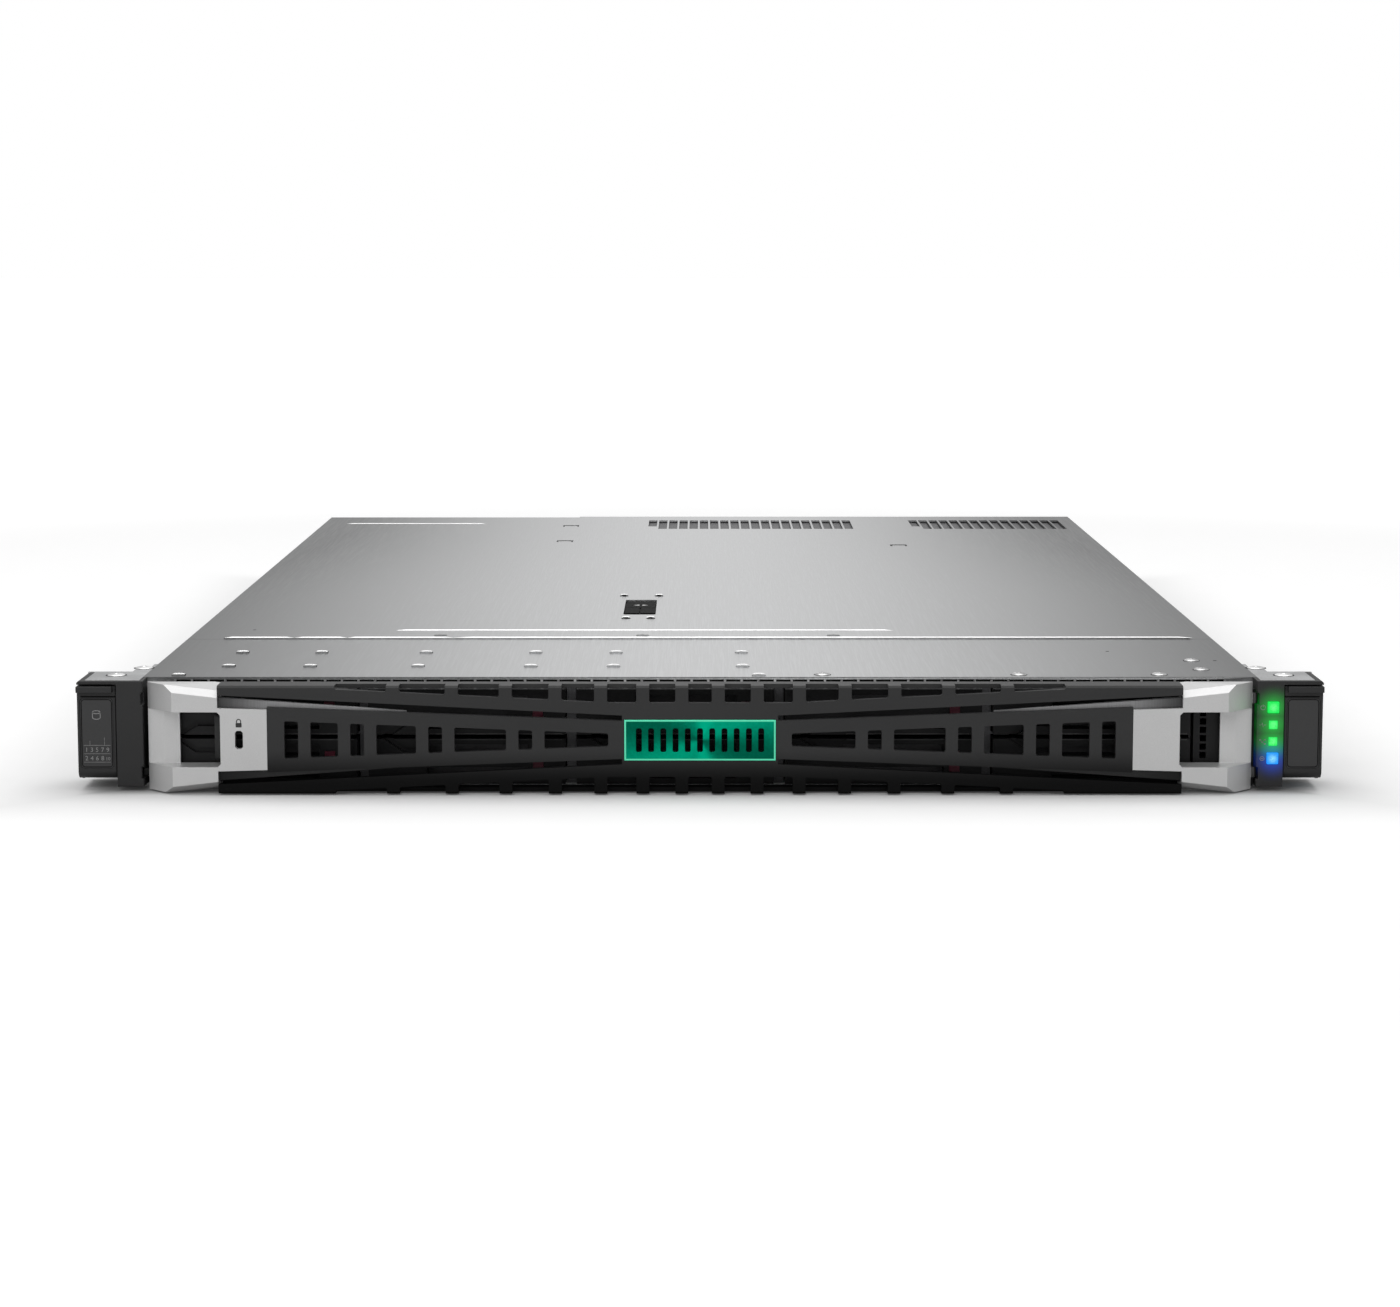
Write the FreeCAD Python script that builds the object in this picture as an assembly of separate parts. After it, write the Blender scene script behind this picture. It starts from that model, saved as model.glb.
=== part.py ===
"""A rack server one unit high, built as separate pieces in millimetres.

The front faces -Y, +X is to the right seen from the front, and +Z is up. While it is built, y = 0 is
the plane of the drive fronts and z = 0 is the underside. The finished pieces are moved along Y so that
the origin is under the middle of the whole machine.
"""
import FreeCAD
import Part
import math
import os
from FreeCAD import Vector

# Body sheet metal
BODY_WIDTH = 434.6
BODY_HEIGHT = 42.9
BODY_DEPTH = 688.0
SHEET = 1.0
FRONT_EDGE = 9.0
COVER_DEPTH = 117.0
PANEL_OVERHANG = 5.0
PANEL_STEP_X = -71.0
PANEL_TRAVEL = 12.0
SEAM_GAP = 0.4
SKIRT_HEIGHT = 7.0
TONGUE_DEPTH = 9.0
HEM_HEIGHT = 0.5
HEM_DEPTH = 2.0
HEM_LEFT_INSET = 14.0
HEM_RIGHT_INSET = 8.0
FIT = 0.3

# Vent slots
WALL_SLOT_PITCH = 6.5
WALL_SLOT_WIDTH = 5.65
WALL_SLOT_HEIGHT = 2.0
FLANGE_HEIGHT = 2.7
WALL_SLOT_MARGIN = 11.3
TOP_SLOT_PITCH = 5.9
TOP_SLOT_WIDTH = 4.8
TOP_SLOT_LENGTH = 53.0
TOP_SLOT_INSET = 19.0
SHORT_SLOT_LENGTH = 38.0
MIDDLE_SLOTS_START = -29.6
MIDDLE_SLOT_COUNT = 20
RIGHT_SLOTS_MARGIN = 95.9
RIGHT_SLOT_COUNT = 15

# Formed marks and heads on the covers
LANCE_WIDTH = 5.0
LANCE_DEPTH = 2.4
LANCE_HEIGHT = 0.6
COVER_LANCE_INSETS = (29.3, 61.8, 104.8, 149.8, 182.8, 234.3)
COVER_LANCE_Y = (39.0, 81.0)
FRONT_LANCES = ((13.3, 12.6), (240.3, 12.6))
PANEL_LANCES = ((-111.0, 138.0), (-24.5, 138.0), (57.0, 138.0))
RIVET_RADIUS = 3.0
RIVET_HEIGHT = 1.0
RIVET_SIDES = 12
MIDDLE_RIVETS = ((265.3, 13.5), (342.3, 13.5))
RIGHT_RIVETS = ((37.3, 13.5), (18.8, 55.0), (18.8, 28.0))
HATCH_SIZE = 9.0
HATCHES = ((-74.0, 643.0), (-74.0, 553.0), (107.5, 530.0))

# Panel latch
LATCH_X = -27.25
LATCH_WIDTH = 14.5
LATCH_FRONT = 214.0
LATCH_LENGTH = 58.0
LATCH_FINGER = 8.0
CUP_WALL = 1.2
CUP_DEPTH = 7.3
LEVER_THICKNESS = 4.0
LEVER_PIVOT_BACK = 6.0
LEVER_TAIL = 2.5
TRUNNION_RADIUS = 1.2
KNUCKLE = 1.8
PIN_CLEARANCE = 0.1

# Drive bays
BAY_COLUMNS = 5
BAY_ROWS = 2
BAY_RIB = 3.6
BAY_MARGIN = 6.9
PORT_SIDE_WIDTH = 22.7
CAGE_WALL = 0.8
CAGE_DEPTH = 140.0
CARRIER_FACE = 2.0
CARRIER_FACE_DEPTH = 9.0
CARRIER_CLEARANCE = 0.4
CARRIER_SIDE = 3.375
DISK_LENGTH = 100.0
DISK_HEIGHT = 15.0
RELEASE_INSET = 13.4
RELEASE_WIDTH = 4.0
RELEASE_HEIGHT = 8.0
CHEVRON_OFFSET = 9.4
CHEVRON_KNEE = 5.1
CHEVRON_RISE = 3.4
CHEVRON_RUN = 12.5
CHEVRON_GROOVE = 2.0
BACKPLANE_THICKNESS = 2.0
PORT_PANEL_VENT = 2.5
PORT_PANEL_VENTS = 6

# Rack ears
EAR_REACH = 24.0
SCREW_INSET = 8.75
EAR_FRONT = -3.0
EAR_SHEET = 1.5
EAR_PLATE_BACK = 25.0
EAR_WING_BACK = 38.0
EAR_WING_WIDTH = 6.7
EAR_INSET = 1.6
EAR_COLUMN = 10.3
EAR_BOTTOM = 1.5
EAR_RIM = 2.8
EAR_FLANGE_FRONT = 0.0
EAR_BLOCK_BOTTOM = 3.5
LATCH_DOOR_DEPTH = 8.0
LATCH_DOOR_GAP = 0.4
LATCH_DOOR_RECESS = 1.0
LABEL_DEPTH = 0.4
LATCH_TOP_GAP = 0.5
FINGER_BAR_HEIGHT = 2.4
FINGER_BAR_REACH = 1.6
EAR_CHEEK = 1.2
EAR_PIN = 4.0
EAR_PIN_RADIUS = 1.5
SCREW_SEAT = 15.0
SCREW_HEAD_RADIUS = 4.8
SCREW_HEAD_HEIGHT = 5.0
SCREW_RADIUS = 2.5
SCREW_NECK_RADIUS = 2.0
SCREW_REACH = 35.0
SCREW_HOLE_CLEARANCE = 0.3
LAMP_INSET = 6.3
BUTTON_SIZE = 4.4
BUTTON_DEPTH = 5.0
BUTTON_PROUD = 0.3
BUTTON_TRAVEL = 1.0
BUTTON_GAP = 0.15
LAMP_SIZE = 3.4
LAMP_DEPTH = 2.0
POWER_DROP = 9.85
HEALTH_HEIGHT = 4.35
NETWORK_HEIGHT = -2.15
ID_RISE = 12.15

# Bezel
BEZEL_FRONT = -13.0
BEZEL_DEPTH = 12.3
BEZEL_EDGE_GAP = 0.45
BEZEL_GAP = 1.7
BEZEL_PATTERN_HALF = 214.0
BEZEL_FACE = 2.5
BEZEL_FLANGE = 1.6
SLIT_START = 30.0
MID_BAND_HALF = 7.4
MID_BAND_SLOPE = 0.0382
OUTER_BAND_HALF = 9.5
OUTER_BAND_SLOPE = 0.0503
MID_BAND_BORDER = 5.07
MID_WINDOW_START = 35.3
MID_WINDOW_WIDE = 24.5
MID_WINDOW_SHRINK = 4.65
MID_WINDOW_NARROW = 5.3
MID_WINDOW_RIB = 4.75
MID_WINDOW_PAIRS = 4
TOP_BAR = 4.6
TOP_WINDOW_CENTRE = 4.5
TOP_WINDOW_WIDTH = 10.0
TOP_WINDOW_GROWTH = 1.12
TOP_WINDOW_RIB = 5.0
TOP_WINDOW_COUNT = 7
TOP_NOTCH_DEPTH = 6.0
WINDOW_CORNER = 0.5
INSERT_HALF_LENGTH = 29.1
INSERT_HALF_HEIGHT = 7.9
INSERT_PROUD = 0.6
INSERT_SEAT = 1.9
INSERT_SLOTS = 11
INSERT_SLOT_WIDTH = 2.2
INSERT_SLOT_HALF_HEIGHT = 4.6
INSERT_SLOT_PITCH = 4.7
TRIM_LENGTH = 101.0
TRIM_THICKNESS = 1.5
TRIM_OVERLAP = 1.0

# Bezel handles
HANDLE_LENGTH = 47.5
ARM_LENGTH = 28.5
ARM_CORNER_INSET = 11.0
HANDLE_PLATE_DROP = 8.7
HANDLE_PLATE_TAPER = 0.55
GRIP_INNER_INSET = 29.5
GRIP_OUTER_INSET = 12.5
GRIP_DROP = 10.3
GRIP_CORNER = 1.2
GRIP_BEND_INSET = 6.5
GRIP_WALL_FRONT = -3.0
GRIP_WALL_EDGE = -2.2
ARM_FRONT_DROP = 4.65
ARM_TOP_SLOPE = 0.1143
ARM_CREASE_BACK = 4.0
ARM_CREASE_DROP = 2.35
ARM_REAR_DROP = 0.25
ARM_WALL = 2.0
LOCK_INSET = 36.7
LOCK_WIDTH = 3.0
LOCK_HALF_HEIGHT = 3.5
PIVOT_REACH = 1.0
PIVOT_RADIUS = 1.2
PIVOT_HEIGHT = 4.0
PIVOT_DROP = 6.5
PIVOT_NOTCH = 1.6
RELEASE_TRAVEL = 3.0
PADDLE_WIDTH = 3.2
PADDLE_GAP = 2.2
PADDLE_DEPTH = 5.0
RELEASE_BAR = 3.0
HOOK_REACH = 0.6

# Fans
FAN_COUNT = 7
FAN_MARGIN = 12.6
FAN_FRONT = 166.0
FAN_TOP_GAP = 0.9
FAN_DEPTH = 38.0
FAN_RIM = 1.2
FAN_TIP_GAP = 0.6
FAN_HUB_RADIUS = 11.0
FAN_HUB_LENGTH = 24.0
FAN_HUB_SIDES = 12
FAN_BLADES = 5
BLADE_ROOT = 15.0
BLADE_TIP = 19.0
BLADE_THICKNESS = 1.2
BLADE_PITCH = -32.0
FAN_SPIDER_DEPTH = 4.0
FAN_STRUT_WIDTH = 2.4
FAN_STRUT_TURN = 30.0

# System board and what stands on it
STANDOFF_HEIGHT = 6.0
STANDOFF_RADIUS = 3.0
BOARD_THICKNESS = 1.6
BOARD_FRONT = 240.0
BOARD_SHOULDER = 495.0
BOARD_MARGIN = 12.3
SOCKET_HEIGHT = 4.4
SINK_HALF_WIDTH = 58.0
SINK_FRONT = 312.0
SINK_LENGTH = 90.0
SINK_BASE = 5.0
SINK_FIN = 0.7
SINK_FINS = 20
MODULE_LENGTH = 133.35
MODULE_THICKNESS = 1.3
MODULE_PITCH = 8.6
MODULES_PER_SIDE = 6
MODULE_FIRST = 66.0
MODULE_FRONT = 296.0
MODULE_SOCKET_HEIGHT = 5.0
MODULE_SOCKET_WIDTH = 5.0
MODULE_SEAT = 2.0
TOP_AIR_GAP = 2.0
BAFFLE_WALL = 1.2
BAFFLE_HALF_WIDTH = 118.0
BAFFLE_FRONT = 290.0
BAFFLE_LENGTH = 145.0

# Rear side
PSU_WIDTH = 54.5
PSU_TOP_GAP = 1.9
PSU_LENGTH = 190.0
PSU_SIDE_GAP = 0.5
PSU_WALL_GAP = 1.8
PSU_PROUD = 0.8
PSU_FACE = 2.5
INLET_WIDTH = 24.4
INLET_HEIGHT = 16.6
INLET_DEPTH = 15.0
INLET_WALL = 1.4
INLET_X = 17.0
PIN_WIDTH = 2.0
PIN_HEIGHT = 4.0
PIN_SPACING = 14.0
HANDLE_X = 36.5
HANDLE_REACH = 21.0
HANDLE_HEIGHT = 30.0
HANDLE_BAR = 4.0
HANDLE_RADIUS = 5.0
TAB_X = 45.0
TAB_WIDTH = 3.0
TAB_HEIGHT = 12.0
TAB_REACH = 12.0
TAB_TRAVEL = 2.0
MIDDLE_RISER_END = 90.0
RIGHT_RISER_START = 119.0
RISER_MARGIN = 6.3
RISER_BOTTOM = 20.0
RISER_LENGTH = 110.0
RISER_GAP = 0.5
BLANK_THICKNESS = 1.0
BLANK_BORDER = 3.0
BLANKS_PER_BAY = 2
BLANK_SLOT_PITCH = 8.0
BLANK_SLOT_WIDTH = 4.5
PORT_SIZES = ((17.5, 13.4, 10.0), (35.5, 13.4, 10.0), (55.5, 14.8, 6.6))
PORT_AREA_WIDTH = 71.5
PORT_WALL = 0.8
PORT_DEPTH = 18.0
PORT_WINDOW_MARGIN = 2.0
PORT_PLATE_LAP = 2.0

# Rail studs
STUD_Y = (75.0, 330.0, 600.0)
STUD_RADIUS = 3.0
STUD_LENGTH = 3.8

HALF_WIDTH = BODY_WIDTH / 2
REAR_WALL = FRONT_EDGE + BODY_DEPTH
MID_Z = BODY_HEIGHT / 2
COVER_UNDER = BODY_HEIGHT - SHEET
COVER_REAR = FRONT_EDGE + COVER_DEPTH
PANEL_REAR = REAR_WALL + PANEL_OVERHANG
INNER_HALF = HALF_WIDTH - SHEET
BEZEL_BACK = BEZEL_FRONT + BEZEL_DEPTH
CAGE_FRONT = FRONT_EDGE + SHEET
CAGE_BACK = CAGE_FRONT + CAGE_DEPTH
CAGE_TOP = COVER_UNDER - SHEET - FIT
BAY_HEIGHT = (CAGE_TOP - SHEET - (BAY_ROWS + 1) * CAGE_WALL) / BAY_ROWS
BAY_START = BAY_MARGIN - HALF_WIDTH
BAY_PITCH = (BODY_WIDTH - BAY_MARGIN - PORT_SIDE_WIDTH) / BAY_COLUMNS
BAY_WIDTH = BAY_PITCH - BAY_RIB
CARRIER_WIDTH = BAY_WIDTH - 2 * CARRIER_CLEARANCE
CARRIER_HEIGHT = BAY_HEIGHT - 2 * CARRIER_CLEARANCE
DISK_WIDTH = CARRIER_WIDTH - 2 * CARRIER_SIDE
RELEASE_OFFSET = BAY_WIDTH - RELEASE_INSET
EAR_OUTER = HALF_WIDTH + EAR_REACH
RACK_SCREW_SPACING = 2 * (EAR_OUTER - SCREW_INSET)
EAR_INNER = HALF_WIDTH - EAR_INSET
EAR_SPLIT = EAR_INNER + EAR_COLUMN
LAMP_X = EAR_INNER + LAMP_INSET
BEZEL_HALF_LENGTH = EAR_INNER - BEZEL_GAP
BEZEL_STRETCH = BEZEL_HALF_LENGTH / BEZEL_PATTERN_HALF
BEZEL_HALF_HEIGHT = MID_Z - BEZEL_EDGE_GAP
HANDLE_PLATE_HALF = BEZEL_HALF_HEIGHT - HANDLE_PLATE_DROP
GRIP_HALF_HEIGHT = BEZEL_HALF_HEIGHT - GRIP_DROP
PADDLE_HALF_HEIGHT = GRIP_HALF_HEIGHT - PADDLE_GAP
ARM_FRONT_TOP = BEZEL_HALF_HEIGHT - ARM_FRONT_DROP
ARM_CREASE_TOP = BEZEL_HALF_HEIGHT - ARM_CREASE_DROP
ARM_REAR_TOP = BEZEL_HALF_HEIGHT - ARM_REAR_DROP
PIVOT_LEVEL = BEZEL_HALF_HEIGHT - PIVOT_DROP
POWER_HEIGHT = BEZEL_HALF_HEIGHT - POWER_DROP
ID_HEIGHT = ID_RISE - BEZEL_HALF_HEIGHT
TRIM_START = BEZEL_HALF_LENGTH - TRIM_LENGTH
HANDLE_INNER = BEZEL_HALF_LENGTH - HANDLE_LENGTH
ARM_INNER = BEZEL_HALF_LENGTH - ARM_LENGTH
ARM_CORNER = BEZEL_HALF_LENGTH - ARM_CORNER_INSET
GRIP_INNER = BEZEL_HALF_LENGTH - GRIP_INNER_INSET
GRIP_OUTER = BEZEL_HALF_LENGTH - GRIP_OUTER_INSET
GRIP_BEND = BEZEL_HALF_LENGTH - GRIP_BEND_INSET
LOCK_X = BEZEL_HALF_LENGTH - LOCK_INSET
PIVOT_X = BEZEL_HALF_LENGTH + PIVOT_REACH
FAN_PITCH = (2 * INNER_HALF - FAN_MARGIN) / FAN_COUNT
BOARD_HALF_WIDTH = HALF_WIDTH - BOARD_MARGIN
WALL_SLOT_REACH = HALF_WIDTH - WALL_SLOT_MARGIN
RIGHT_SLOTS_START = HALF_WIDTH - RIGHT_SLOTS_MARGIN
EAR_TOP = BODY_HEIGHT - EAR_SHEET
RACK_HOLE_X = RACK_SCREW_SPACING / 2
LATCH_PIVOT_Y = EAR_FRONT + LATCH_DOOR_DEPTH / 2
LATCH_PIVOT_Z = EAR_BLOCK_BOTTOM + LATCH_DOOR_DEPTH / 2
BOARD_BOTTOM = SHEET + STANDOFF_HEIGHT
BOARD_TOP = BOARD_BOTTOM + BOARD_THICKNESS
INSIDE_TOP = COVER_UNDER - TOP_AIR_GAP
PSU_LEFT = -INNER_HALF + PSU_WALL_GAP
PSU_PITCH = PSU_WIDTH + 2 * PSU_SIDE_GAP + SHEET
PORT_AREA_LEFT = PSU_LEFT + PSU_PITCH + PSU_WIDTH
PORTS = tuple((PORT_AREA_LEFT + x, width, height) for x, width, height in PORT_SIZES)
MIDDLE_RISER_BAY = (PORT_AREA_LEFT + PORT_AREA_WIDTH, MIDDLE_RISER_END)
RISER_BAYS = (MIDDLE_RISER_BAY, (RIGHT_RISER_START, HALF_WIDTH - RISER_MARGIN))
PSU_HEIGHT = COVER_UNDER - SHEET - PSU_TOP_GAP
PSU_MID_Z = SHEET + PSU_HEIGHT / 2
PSU_REAR = REAR_WALL + PSU_PROUD
REAR_REACH = PSU_REAR + PSU_FACE + HANDLE_REACH
FRONT_REACH = BEZEL_FRONT - INSERT_PROUD
ORIGIN_Y = (REAR_REACH + FRONT_REACH) / 2
LATCH_REAR = LATCH_FRONT + LATCH_LENGTH
LEVER_PIVOT_Y = LATCH_REAR - LEVER_PIVOT_BACK
LEVER_TOP = BODY_HEIGHT - FIT
LEVER_BOTTOM = LEVER_TOP - LEVER_THICKNESS
LEVER_PIVOT_Z = LEVER_BOTTOM - TRUNNION_RADIUS / 2
FAN_SIZE = COVER_UNDER - SHEET - FAN_TOP_GAP
FAN_BORE_RADIUS = FAN_SIZE / 2 - FAN_RIM
FAN_AXIS_Z = SHEET + FAN_SIZE / 2
TINY = 0.01
BIG = 1000.0


# Basic shapes

def block(x0, x1, y0, y1, z0, z1):
    """Box between two corners."""
    return Part.makeBox(x1 - x0, y1 - y0, z1 - z0, Vector(x0, y0, z0))


def rod(radius, base, direction, length):
    """Cylinder from a base point along a direction."""
    return Part.makeCylinder(radius, length, Vector(*base), Vector(*direction))


def outline(points, radius):
    """Closed wire through the points, with every corner rounded by an arc of the given radius."""
    corners = [Vector(*point) for point in points]
    edges = []
    ends = []
    for index, corner in enumerate(corners):
        to_last = (corners[index - 1] - corner).normalize()
        to_next = (corners[(index + 1) % len(corners)] - corner).normalize()
        half_turn = to_last.getAngle(to_next) / 2
        setback = radius / math.tan(half_turn)
        start = corner + to_last * setback
        end = corner + to_next * setback
        inward = (to_last + to_next).normalize()
        middle = corner + inward * (radius / math.sin(half_turn) - radius)
        ends.append((start, middle, end))
    for index, (start, middle, end) in enumerate(ends):
        edges.append(Part.Arc(start, middle, end).toShape())
        edges.append(Part.makeLine(end, ends[(index + 1) % len(ends)][0]))
    return Part.Wire(edges)


def cut_corners(points, size):
    """The outline's points with every corner cut off by the same length along both sides."""
    corners = [Vector(*point) for point in points]
    result = []
    for index, corner in enumerate(corners):
        to_last = (corners[index - 1] - corner).normalize()
        to_next = (corners[(index + 1) % len(corners)] - corner).normalize()
        result += [corner + to_last * size, corner + to_next * size]
    return result


def extrude(points, sweep, corner):
    """Prism of a closed outline, its corners sharp or cut off."""
    corners = cut_corners(points, corner) if corner else [Vector(*point) for point in points]
    return Part.Face(Part.makePolygon(corners + corners[:1])).extrude(Vector(*sweep))


def prism_y(points, y0, y1, corner=0.0):
    """Prism along Y from (x, z) points."""
    return extrude([(x, y0, z) for x, z in points], (0, y1 - y0, 0), corner)


def prism_z(points, z0, z1, corner=0.0):
    """Prism along Z from (x, y) points."""
    return extrude([(x, y, z0) for x, y in points], (0, 0, z1 - z0), corner)


def rounded_bar(points, x0, x1, radius):
    """Prism along X from (y, z) points with rounded corners."""
    return Part.Face(outline([(x0, y, z) for y, z in points], radius)).extrude(Vector(x1 - x0, 0, 0))


def ring_points(radius, sides):
    """Corner points of a regular polygon about the origin."""
    turns = [2 * math.pi * index / sides for index in range(sides)]
    return [(radius * math.cos(turn), radius * math.sin(turn)) for turn in turns]


def rectangle(a0, a1, b0, b1):
    """Corner points of a rectangle."""
    return [(a0, b0), (a1, b0), (a1, b1), (a0, b1)]


def side_mirror(shape):
    """The same shape on the other side of the middle."""
    return shape.mirror(Vector(0, 0, 0), Vector(1, 0, 0))


def height_mirror(shape):
    """The same shape turned over about mid height."""
    return shape.mirror(Vector(0, 0, MID_Z), Vector(0, 0, 1))


def four_ways(shapes):
    """Each shape with its mirror images, left and right, above and below mid height."""
    doubled = shapes + [side_mirror(shape) for shape in shapes]
    return doubled + [height_mirror(shape) for shape in doubled]


def trim_above(shape, first, second, third):
    """Cut away what lies above the plane through three points."""
    origin = Vector(*first)
    normal = (Vector(*second) - origin).cross(Vector(*third) - origin).normalize()
    if normal.z < 0:
        normal = normal * -1
    waste = Part.makeBox(BIG, BIG, BIG, Vector(-BIG / 2, -BIG / 2, 0))
    waste.Placement = FreeCAD.Placement(origin, FreeCAD.Rotation(Vector(0, 0, 1), normal))
    return shape.cut(waste)


def save(name, *solids):
    """Write one node as a STEP file in the finished frame."""
    shape = solids[0] if len(solids) == 1 else Part.makeCompound(list(solids))
    shape = shape.removeSplitter()
    shape.translate(Vector(0, -ORIGIN_Y, 0))
    shape.exportStep("parts/" + name + ".step")


# Body

def port_cut(x, width, height, grow):
    """Window round one port."""
    return block(x - width / 2 - grow, x + width / 2 + grow, REAR_WALL - SHEET, REAR_WALL + 2 * SHEET,
                 BOARD_TOP - grow, BOARD_TOP + height + grow)


def port_area(margin, y0, y1, z0, z1):
    """Block over all the ports together."""
    left, left_width, _ = PORTS[0]
    right, right_width, _ = PORTS[-1]
    reach = PORT_WALL + margin
    return block(left - left_width / 2 - reach, right + right_width / 2 + reach, y0, y1, z0, z1)


def psu_x(index):
    """Left side of a power supply."""
    return PSU_LEFT + index * PSU_PITCH


def chassis_tray():
    """Base, side walls and rear wall folded from one sheet, with board standoffs pressed in."""
    tray = block(-HALF_WIDTH, HALF_WIDTH, FRONT_EDGE, REAR_WALL, 0, COVER_UNDER)
    tray = tray.cut(block(-INNER_HALF, INNER_HALF, FRONT_EDGE, REAR_WALL - SHEET, SHEET, COVER_UNDER))
    windows = []
    for index in range(2):
        left = psu_x(index)
        windows.append(block(left - PSU_SIDE_GAP, left + PSU_WIDTH + PSU_SIDE_GAP, REAR_WALL - 2 * SHEET,
                             REAR_WALL, SHEET, SHEET + PSU_HEIGHT + PSU_SIDE_GAP))
    for left, right in RISER_BAYS:
        windows.append(block(left + FIT, right - FIT, REAR_WALL - 2 * SHEET, REAR_WALL, RISER_BOTTOM,
                             COVER_UNDER))
    windows.append(port_area(PORT_WINDOW_MARGIN, REAR_WALL - 2 * SHEET, REAR_WALL, SHEET, COVER_UNDER))
    tray = tray.cut(windows)
    return tray.fuse([standoff(x, y) for x, y in standoff_places()])


def standoff(x, y):
    """Hexagonal standoff under the system board."""
    return prism_z([(x + dx, y + dy) for dx, dy in ring_points(STANDOFF_RADIUS, 6)], SHEET,
                   SHEET + STANDOFF_HEIGHT)


def standoff_places():
    """Feet of the board's standoffs, along its outline."""
    edge = 3 * STANDOFF_RADIUS
    side = BOARD_HALF_WIDTH - edge
    back = REAR_WALL - SHEET - edge
    inner = board_inner_x() + edge
    places = [(-side, BOARD_FRONT + edge), (side, BOARD_FRONT + edge), (0, BOARD_FRONT + edge)]
    places += [(-side, BOARD_SHOULDER - edge), (side, BOARD_SHOULDER - edge), (0, BOARD_SHOULDER - edge)]
    return places + [(inner, back - 3 * edge), (side, back - 3 * edge)]


def wall_slots():
    """Row of slots along the top of the cover's front flange."""
    count = int(WALL_SLOT_REACH // WALL_SLOT_PITCH)
    top = COVER_UNDER - TINY
    slots = []
    for index in range(-count, count + 1):
        x = index * WALL_SLOT_PITCH
        slots.append(block(x - WALL_SLOT_WIDTH / 2, x + WALL_SLOT_WIDTH / 2, FRONT_EDGE, FRONT_EDGE + SHEET,
                           top - WALL_SLOT_HEIGHT, top))
    return slots


def lance(x, y):
    """Half-sheared mark standing up from a cover."""
    return block(x - LANCE_WIDTH / 2, x + LANCE_WIDTH / 2, y - LANCE_DEPTH / 2, y + LANCE_DEPTH / 2,
                 BODY_HEIGHT - SHEET / 2, BODY_HEIGHT + LANCE_HEIGHT)


def front_cover():
    """Fixed cover over the drives with a slotted front flange folded down."""
    skin = block(-HALF_WIDTH, HALF_WIDTH, FRONT_EDGE, COVER_REAR, COVER_UNDER, BODY_HEIGHT)
    flange = block(-INNER_HALF, INNER_HALF, FRONT_EDGE, FRONT_EDGE + SHEET,
                   COVER_UNDER - FLANGE_HEIGHT, COVER_UNDER)
    cover = skin.fuse(flange.cut(wall_slots()))
    marks = [(x, y) for x in COVER_LANCE_INSETS for y in COVER_LANCE_Y] + list(FRONT_LANCES)
    return cover.fuse([lance(x - HALF_WIDTH, y) for x, y in marks])


def rivets():
    """Low rivet heads on the front cover, narrower at the top."""
    heads = []
    places = [(x - HALF_WIDTH, y) for x, y in MIDDLE_RIVETS] + [(HALF_WIDTH - x, y) for x, y in RIGHT_RIVETS]
    for x, y in places:
        rings = []
        for radius, z in ((RIVET_RADIUS, BODY_HEIGHT), (RIVET_RADIUS / 2, BODY_HEIGHT + RIVET_HEIGHT)):
            corners = [Vector(x + dx, y + dy, z) for dx, dy in ring_points(radius, RIVET_SIDES)]
            rings.append(Part.makePolygon(corners + corners[:1]))
        heads.append(Part.makeLoft(rings, True, True))
    return heads


def slot_group(start, count):
    """Vent slots over a card cage, the first one shorter at the front."""
    rear = PANEL_REAR - TOP_SLOT_INSET - PANEL_OVERHANG
    slots = []
    for index in range(count):
        x = start + index * TOP_SLOT_PITCH
        length = TOP_SLOT_LENGTH if index else SHORT_SLOT_LENGTH
        slots.append(block(x, x + TOP_SLOT_WIDTH, rear - length, rear, COVER_UNDER, BODY_HEIGHT))
    return slots


def hatch(x, y):
    """Square hole left by a tab that is folded down."""
    half = HATCH_SIZE / 2
    opening = block(x - half, x + half, y - half, y + half, COVER_UNDER, BODY_HEIGHT)
    tongue = block(x - half + SHEET, x + half - SHEET, y - half, y, COVER_UNDER, BODY_HEIGHT)
    return opening.cut(tongue)


def latch_opening(z0, z1, grow=0.0):
    """Space of the latch recess, with rounded corners."""
    x0 = LATCH_X - LATCH_WIDTH / 2 - grow
    x1 = LATCH_X + LATCH_WIDTH / 2 + grow
    return prism_z(rectangle(x0, x1, LATCH_FRONT - grow, LATCH_REAR + grow), z0, z1, SHEET + grow)


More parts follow.
